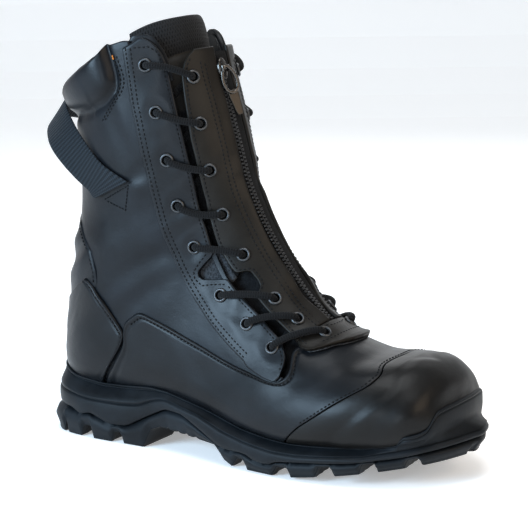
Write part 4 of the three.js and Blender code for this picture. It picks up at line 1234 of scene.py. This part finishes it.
def leatherTree():
    # outside of the leather low on the foot, for the rubber that hugs it
    def place(u, v):
        row = 0.03 + 10.5 * v
        return onForm(row, halfGirth(row) * (2 * u - 1), facingHigh) / mm

    bm = bmesh.new()
    gridLayer(bm, spread(120), spread(130), place)
    fillHoles(bm)
    tree = BVHTree.FromBMesh(bm)
    bm.free()
    return tree


leatherOutside = leatherTree()


def leatherInset(t, side, z):
    # how far inside the sole's outline the leather stands at this height
    start = planSpot(t, side, -30)
    run = planSpot(t, side, 0) - start
    run.normalize()
    hit = leatherOutside.ray_cast(Vector((start.x, start.y, z)), Vector((run.x, run.y, 0)), 70)
    return hit[3] - 30 if hit[0] is not None else None


def loftInto(bm, levels):
    # each level gives height(x) and inset(x, near), near being how far in the leather stands
    n = sole["stations"]
    ring = [(stationShare(i), -1) for i in range(n + 1)] + [(stationShare(i), 1) for i in range(n - 1, 0, -1)]
    count = len(ring)

    def leatherNear(index, height):
        t, side = ring[index % count]
        x = planSpot(t, side, 0).x
        low = max(height(x), heightOn(rimLine, x) - 1.5)
        found = [leatherInset(t, side, low + (max(guardHeight(x), low) - low) * k / 3) for k in range(4)]
        return min([value for value in found if value is not None] or [4])

    nears = []
    for height, _ in levels:
        line = [leatherNear(index, height) for index in range(count)]
        for _ in range(3):
            line = [(line[k - 1] + line[k] + line[(k + 1) % count]) / 3 for k in range(count)]
        nears.append(line)

    def spot(index, level):
        t, side = ring[index % count]
        height, inset = levels[level]
        x = planSpot(t, side, 0).x
        place = planSpot(t, side, inset(x, nears[level][index % count]))
        return Vector((place.x, place.y, height(x)))

    last = len(levels) - 1
    gridLayer(bm, spread(count), spread(last), lambda u, v: spot(round(u * count), round(v * last)))
    mergeVerts(bm)


def fillEnds(bm):
    fillHoles(bm)
    big = [f for f in bm.faces if len(f.verts) > 8]
    bmesh.ops.triangulate(bm, faces=big, quad_method="BEAUTY", ngon_method="EAR_CLIP")
    faceOutward(bm)


def buildMidsole():
    def parting(x):
        return heightOn(partingLine, x) + 0.35

    def groove(x):
        return heightOn(grooveLine, x)

    def rim(x):
        return max(heightOn(rimLine, x), guardHeight(x))

    def base(x):
        return 0.5 + heelStep(x) - 1.3 * blend(-70, -30, x)

    def between(share, more):
        # from the parting line at 0 to the groove at 1
        return lambda x: (1 - share) * parting(x) + share * groove(x) + more

    def under(share, drop):
        # from the groove at 0 to the rim at 1
        def height(x):
            tall = rim(x) - groove(x)
            return rim(x) - tall * (1 - share) - min(drop, tall * drop / 9.5)
        return height

    def wall(height, more):
        # from the groove's inset to just outside the leather, level with the plain rim
        def inset(x, near):
            plain = heightOn(rimLine, x) - groove(x)
            z = height(x) - groove(x)
            w = blend(0.05, 0.85, z / plain)
            top = max(near - 1.9, base(x) + 1.1)
            top += (near - 1.7 - top) * blend(1, 1.25, z / plain) - 0.9 * blend(1.3, 2.2, z / plain)
            return base(x) + 0.4 + (top - base(x) - 0.4) * w + more
        return height, inset

    levels = [(parting, lambda x, near: 6 + heelStep(x))]
    for share, up, more in ((0, 0, 0.8), (0, 0.5, 0.25), (0.3, 0, -0.15), (0.6, 0, -0.2), (1, -1.3, 0),
                            (1, -0.5, 0.35), (1, -0.1, 1.9), (1, 0.3, 2.1), (1, 0.8, 0.8)):
        levels.append((between(share, up), lambda x, near, more=more: base(x) + more))
    for share, drop, more in ((0.2, 0, 0), (0.4, 0, 0), (0.56, 0, 0), (1, 3.3, 0), (1, 2.9, 0.15), (1, 2.5, 0.8),
                              (1, 2.1, 0.8), (1, 1.7, 0), (1, 1.2, -0.2), (1, 0.6, -0.1), (1, 0.15, 0.35),
                              (1, 0, 1.1), (1, 0.2, 2.0), (1, 2.2, 3.4)):
        levels.append(wall(under(share, drop), more))
    levels.append((between(0.6, 0), lambda x, near: near + 8))
    bm = bmesh.new()
    loftInto(bm, levels)
    fillEnds(bm)
    finishMesh("midsole_rubber", bm, "midsole", ["midsole"])


def lugDepth(x, y):
    bottom = 0.0
    for place, width, depth in lugGaps + [(rib, 2.6, 1.2) for rib in archRibs]:
        middle = place * reach - width * 0.9 * (1 - min(abs(y) / (1.2 * ballHalf), 1))
        away = abs(x - middle)
        slope = 1.5
        bottom = max(bottom, depth * min(max((width / 2 + 0.6 - away) / slope, 0), 1))
    if abs(x) > 0.14 * reach and abs(y) < 3.2:
        bottom = max(bottom, 2.2 * blend(3.2, 2.0, abs(y)))
    return bottom


def buildOutsole():
    across = [-1.30, -1.22, -1.14, -1.07, -1.03, -1.0, -.985] + [k / 16 for k in range(-15, 16)] + [
        .985, 1.0, 1.03, 1.07, 1.14, 1.22, 1.30]
    us = [(s + 1.3) / 2.6 for s in across]

    def place(u, v):
        t = v - 0.03 * sin(2 * pi * v)
        s = 2.6 * u - 1.3
        side = -1 if s < 0 else 1
        ground = 3.2 + 0.8 * blend(-20, 20, planSpot(t, side, 0).x)
        if abs(s) <= 1:
            share = 0.5 + 0.5 * s
            spot = planSpot(t, -1, ground).lerp(planSpot(t, 1, ground), share)
            z = treadHeight(spot.x) + lugDepth(spot.x, spot.y)
            return Vector((spot.x, spot.y, z + 0.5 * blend(0.93, 1, abs(s))))
        climb = (abs(s) - 1) / 0.3
        heel = heelStep(planSpot(t, side, 0).x)
        inset = ground + (0.6 - ground) * blend(0, 0.55, climb) + heel * blend(0.5, 0.95, climb)
        if climb >= 0.9:
            inset += 3
        spot = planSpot(t, side, inset)
        parting = heightOn(partingLine, spot.x) - 0.15
        low = treadHeight(spot.x)
        cut = lugDepth(spot.x, spot.y)
        start = min(low + cut * 1.05 + 0.5, parting - 0.6)
        return Vector((spot.x, spot.y, start + (parting - start) * min(climb, 0.96) ** 0.9))

    bm = bmesh.new()
    gridLayer(bm, us, spread(300), place)
    mergeVerts(bm, distance=1e-5)
    fillEnds(bm)
    finishMesh("outsole_rubber", bm, "outsole", ["outsole"])


buildMidsole()
buildOutsole()
print("sole built")


# stitches
thread = {"pitch": 2.8, "long": 0.98, "thick": 0.52}


def stitchInto(bm, line, distance, pitch=thread["pitch"], long=thread["long"]):
    # line is row and girth; distance is a number or a function of the row
    dense = []
    for (r0, g0), (r1, g1) in zip(line, line[1:]):
        steps = max(2, int(abs(r1 - r0) * 8 + abs(g1 - g0) / 3))
        dense += [(r0 + (r1 - r0) * k / steps, g0 + (g1 - g0) * k / steps) for k in range(steps)]
    dense.append(line[-1])
    spots = [onForm(row, girth, 0) for row, girth in dense]
    lengths = [0.0]
    for a, b in zip(spots, spots[1:]):
        lengths.append(lengths[-1] + (b - a).length)
    for i in range(int(lengths[-1] / pitch)):
        want = (i + 0.5) * pitch
        k = min(bisect_right(lengths, want) - 1, len(dense) - 2)
        f = (want - lengths[k]) / max(lengths[k + 1] - lengths[k], 1e-6)
        row, girth = (a + (b - a) * f for a, b in zip(dense[k], dense[k + 1]))
        point, normal, _, _ = formFrame(row, girth)
        run = (spots[k + 1] - spots[k]).normalized()
        run = (run - normal * run.dot(normal)).normalized()
        made = bmesh.ops.create_uvsphere(bm, u_segments=6, v_segments=4, radius=1)["verts"]
        turn = Matrix((normal.cross(run), normal, run)).transposed().to_4x4()
        lift = distance(row) if callable(distance) else distance
        turn.translation = point + normal * (lift + surfaceRelief(row, girth))
        size = Matrix.Diagonal((thread["thick"], thread["thick"] * 0.8, long, 1))
        bmesh.ops.transform(bm, matrix=Matrix.Scale(mm, 4) @ turn @ size, verts=made)


def bothSides(bm, line, distance, **more):
    for side in (-1, 1):
        stitchInto(bm, [(row, side * girth) for row, girth in line], distance, **more)


def rowsFrom(low, high, step=0.08):
    count = int((high - low) / step)
    return [low + (high - low) * i / count for i in range(count + 1)]


def offsetLine(table, rows, inset, soft=0.02):
    return [(row, smoothLookup(table, row, soft) + inset) for row in rows]


def onPanel(row):
    return panelLift(row) + panel["wall"]


def facingSeams(bm):
    top = facingHigh + 0.3
    notch = [(8.4, 44.5), (8.47, 47), (8.6, 52), (8.74, 58.5), (8.98, 60.6), (9.16, 59.2), (9.28, 52), (9.36, 45)]
    rear = rowsFrom(6.98, 14.42)
    for line in (offsetLine(facingBack, rear, -2.3), offsetLine(facingBack, rear, -5.4),
                 offsetLine(facingFront, rowsFrom(6.15, 8.4), 2.6), notch,
                 offsetLine(facingFront, rowsFrom(9.36, 14.26), 2.6),
                 [(14.26, 43), (14.34, 45), (14.39, 49), (14.4, 61)]):
        bothSides(bm, line, top)
    for inset in (-3.0, -5.6):
        bothSides(bm, offsetLine(padFront, rowsFrom(13.42, 14.36, 0.06), inset, 0.06), 0.15)


def panelSeams(bm):
    bothSides(bm, [(row, panelSide(row) - 2.4) for row in rowsFrom(6.0, 14.2)], onPanel)
    for inset in (0, 3):
        slotLine = [(6.2, 11 + inset), (7, 13.2 + inset), (9, 12.8 + inset), (14.2, 16.4 + inset)]
        bothSides(bm, [(row, lookup(slotLine, row)) for row in rowsFrom(6.4, 14.15)], onPanel)
    low = [(5.84 + 0.1 * abs(k / 10) ** 3, 22.5 * k / 10) for k in range(-10, 11)]
    for line in (low, [(row + 0.36, girth * 0.45) for row, girth in low]):
        stitchInto(bm, line, lambda row: onPanel(row) + 0.2)


def vampSeams(bm):
    back = [(smoothLookup(vampEdge, g, 2.2), g) for g in range(34, 124, 2)]
    bothSides(bm, [(row - 2.9 / lookup(rowPitch, row), g) for row, g in back], facingHigh - 0.1)
    bothSides(bm, [(smoothLookup(toeCapEdge, g, 3) + 0.115, g) for g in range(0, 84, 3)], facingHigh + 0.1)
    bothSides(bm, offsetLine(counterFront, rowsFrom(8.84, 10.9, 0.03), 3.6, 0.03), facingHigh + 0.2)
    bothSides(bm, [(10.75, 134), (10.98, 131.5), (11.41, 133), (11.78, 141), (11.95, 147)], 1.1)
    bothSides(bm, [(12.09, 107.4), (12.12, 84.5), (11.72, 91.4), (12.08, 106.6)], 0.2, pitch=2.4)


def threadEnd(bm):
    stitchInto(bm, [(14.3, -73.2), (14.36, -73.6)], 0.5, 1.4, 0.8)


def buildStitches():
    for name, seams, finish, slot in (
            ("facing_stitches", facingSeams, "thread", "shaft_leather"),
            ("panel_stitches", panelSeams, "thread", "panel_leather"),
            ("vamp_stitches", vampSeams, "thread", "vamp_leather"),
            ("thread_end", threadEnd, "orangeThread", "shaft_leather")):
        bm = bmesh.new()
        seams(bm)
        finishMesh(name, bm, finish)


buildStitches()
print("stitches built")


# the insole is the CAD's own
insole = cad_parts["insole"]
insole.data.materials.clear()
insole.data.materials.append(finishes["insole"])


# floor, light: place, size, power, colour
lamps = {
    "coolKey": ((-0.55, -1.25, 0.52), 0.6, 34, (0.55, 0.78, 1)),
    "topSoft": ((0.1, -0.2, 1.5), 0.9, 15, (0.95, 0.98, 1)),
    "warmFront": ((1.45, -0.25, 0.8), 1.0, 11, (1, 0.8, 0.6)),
    "lowSide": ((0.45, -1.5, 0.3), 0.35, 5, (0.76, 0.88, 1)),
    "backFill": ((-0.4, 1.2, 0.8), 0.9, 3, (1, 1, 1)),
}


def buildFloor():
    bm = bmesh.new()
    made = bmesh.ops.create_grid(bm, x_segments=2, y_segments=60, size=6)["verts"]
    for vert in made:
        # flat near the boot, rising like a paper roll far behind it
        far = max(vert.co.y - 1.6, 0)
        vert.co = Vector((vert.co.x, min(vert.co.y, 1.6) + 1.4 * (1 - exp(-far / 1.4)), 0.16 * far * far))
    bmesh.ops.rotate(bm, verts=made, cent=(0, 0, 0), matrix=Matrix.Rotation(radians(view["azimuth"]), 3, "Z"))
    mesh = bpy.data.meshes.new("floor")
    bm.to_mesh(mesh)
    bm.free()
    material, _, shader = newMaterial("paleFloor", (0.93, 0.93, 0.93), 0.8, specular=0.1)
    shader.inputs["Emission Color"].default_value = (1, 1, 1, 1)
    shader.inputs["Emission Strength"].default_value = 0.3
    mesh.materials.append(material)
    addObject("floor", mesh)


def buildLight():
    world = bpy.data.worlds.new("studio")
    world.use_nodes = True
    background = world.node_tree.nodes["Background"].inputs
    background["Color"].default_value = (0.93, 0.96, 1, 1)
    background["Strength"].default_value = 0.29
    bpy.context.scene.world = world
    for name, (place, size, power, colour) in lamps.items():
        data = bpy.data.lights.new(name, "AREA")
        data.size = size
        data.energy = power
        data.color = colour
        away = (Vector(place) - Vector((0, 0, 0.12))).to_track_quat("Z", "Y")
        addObject(name, data).matrix_world = Matrix.Translation(place) @ away.to_matrix().to_4x4()
    bpy.context.scene.view_settings.view_transform = "Standard"


buildFloor()
buildLight()
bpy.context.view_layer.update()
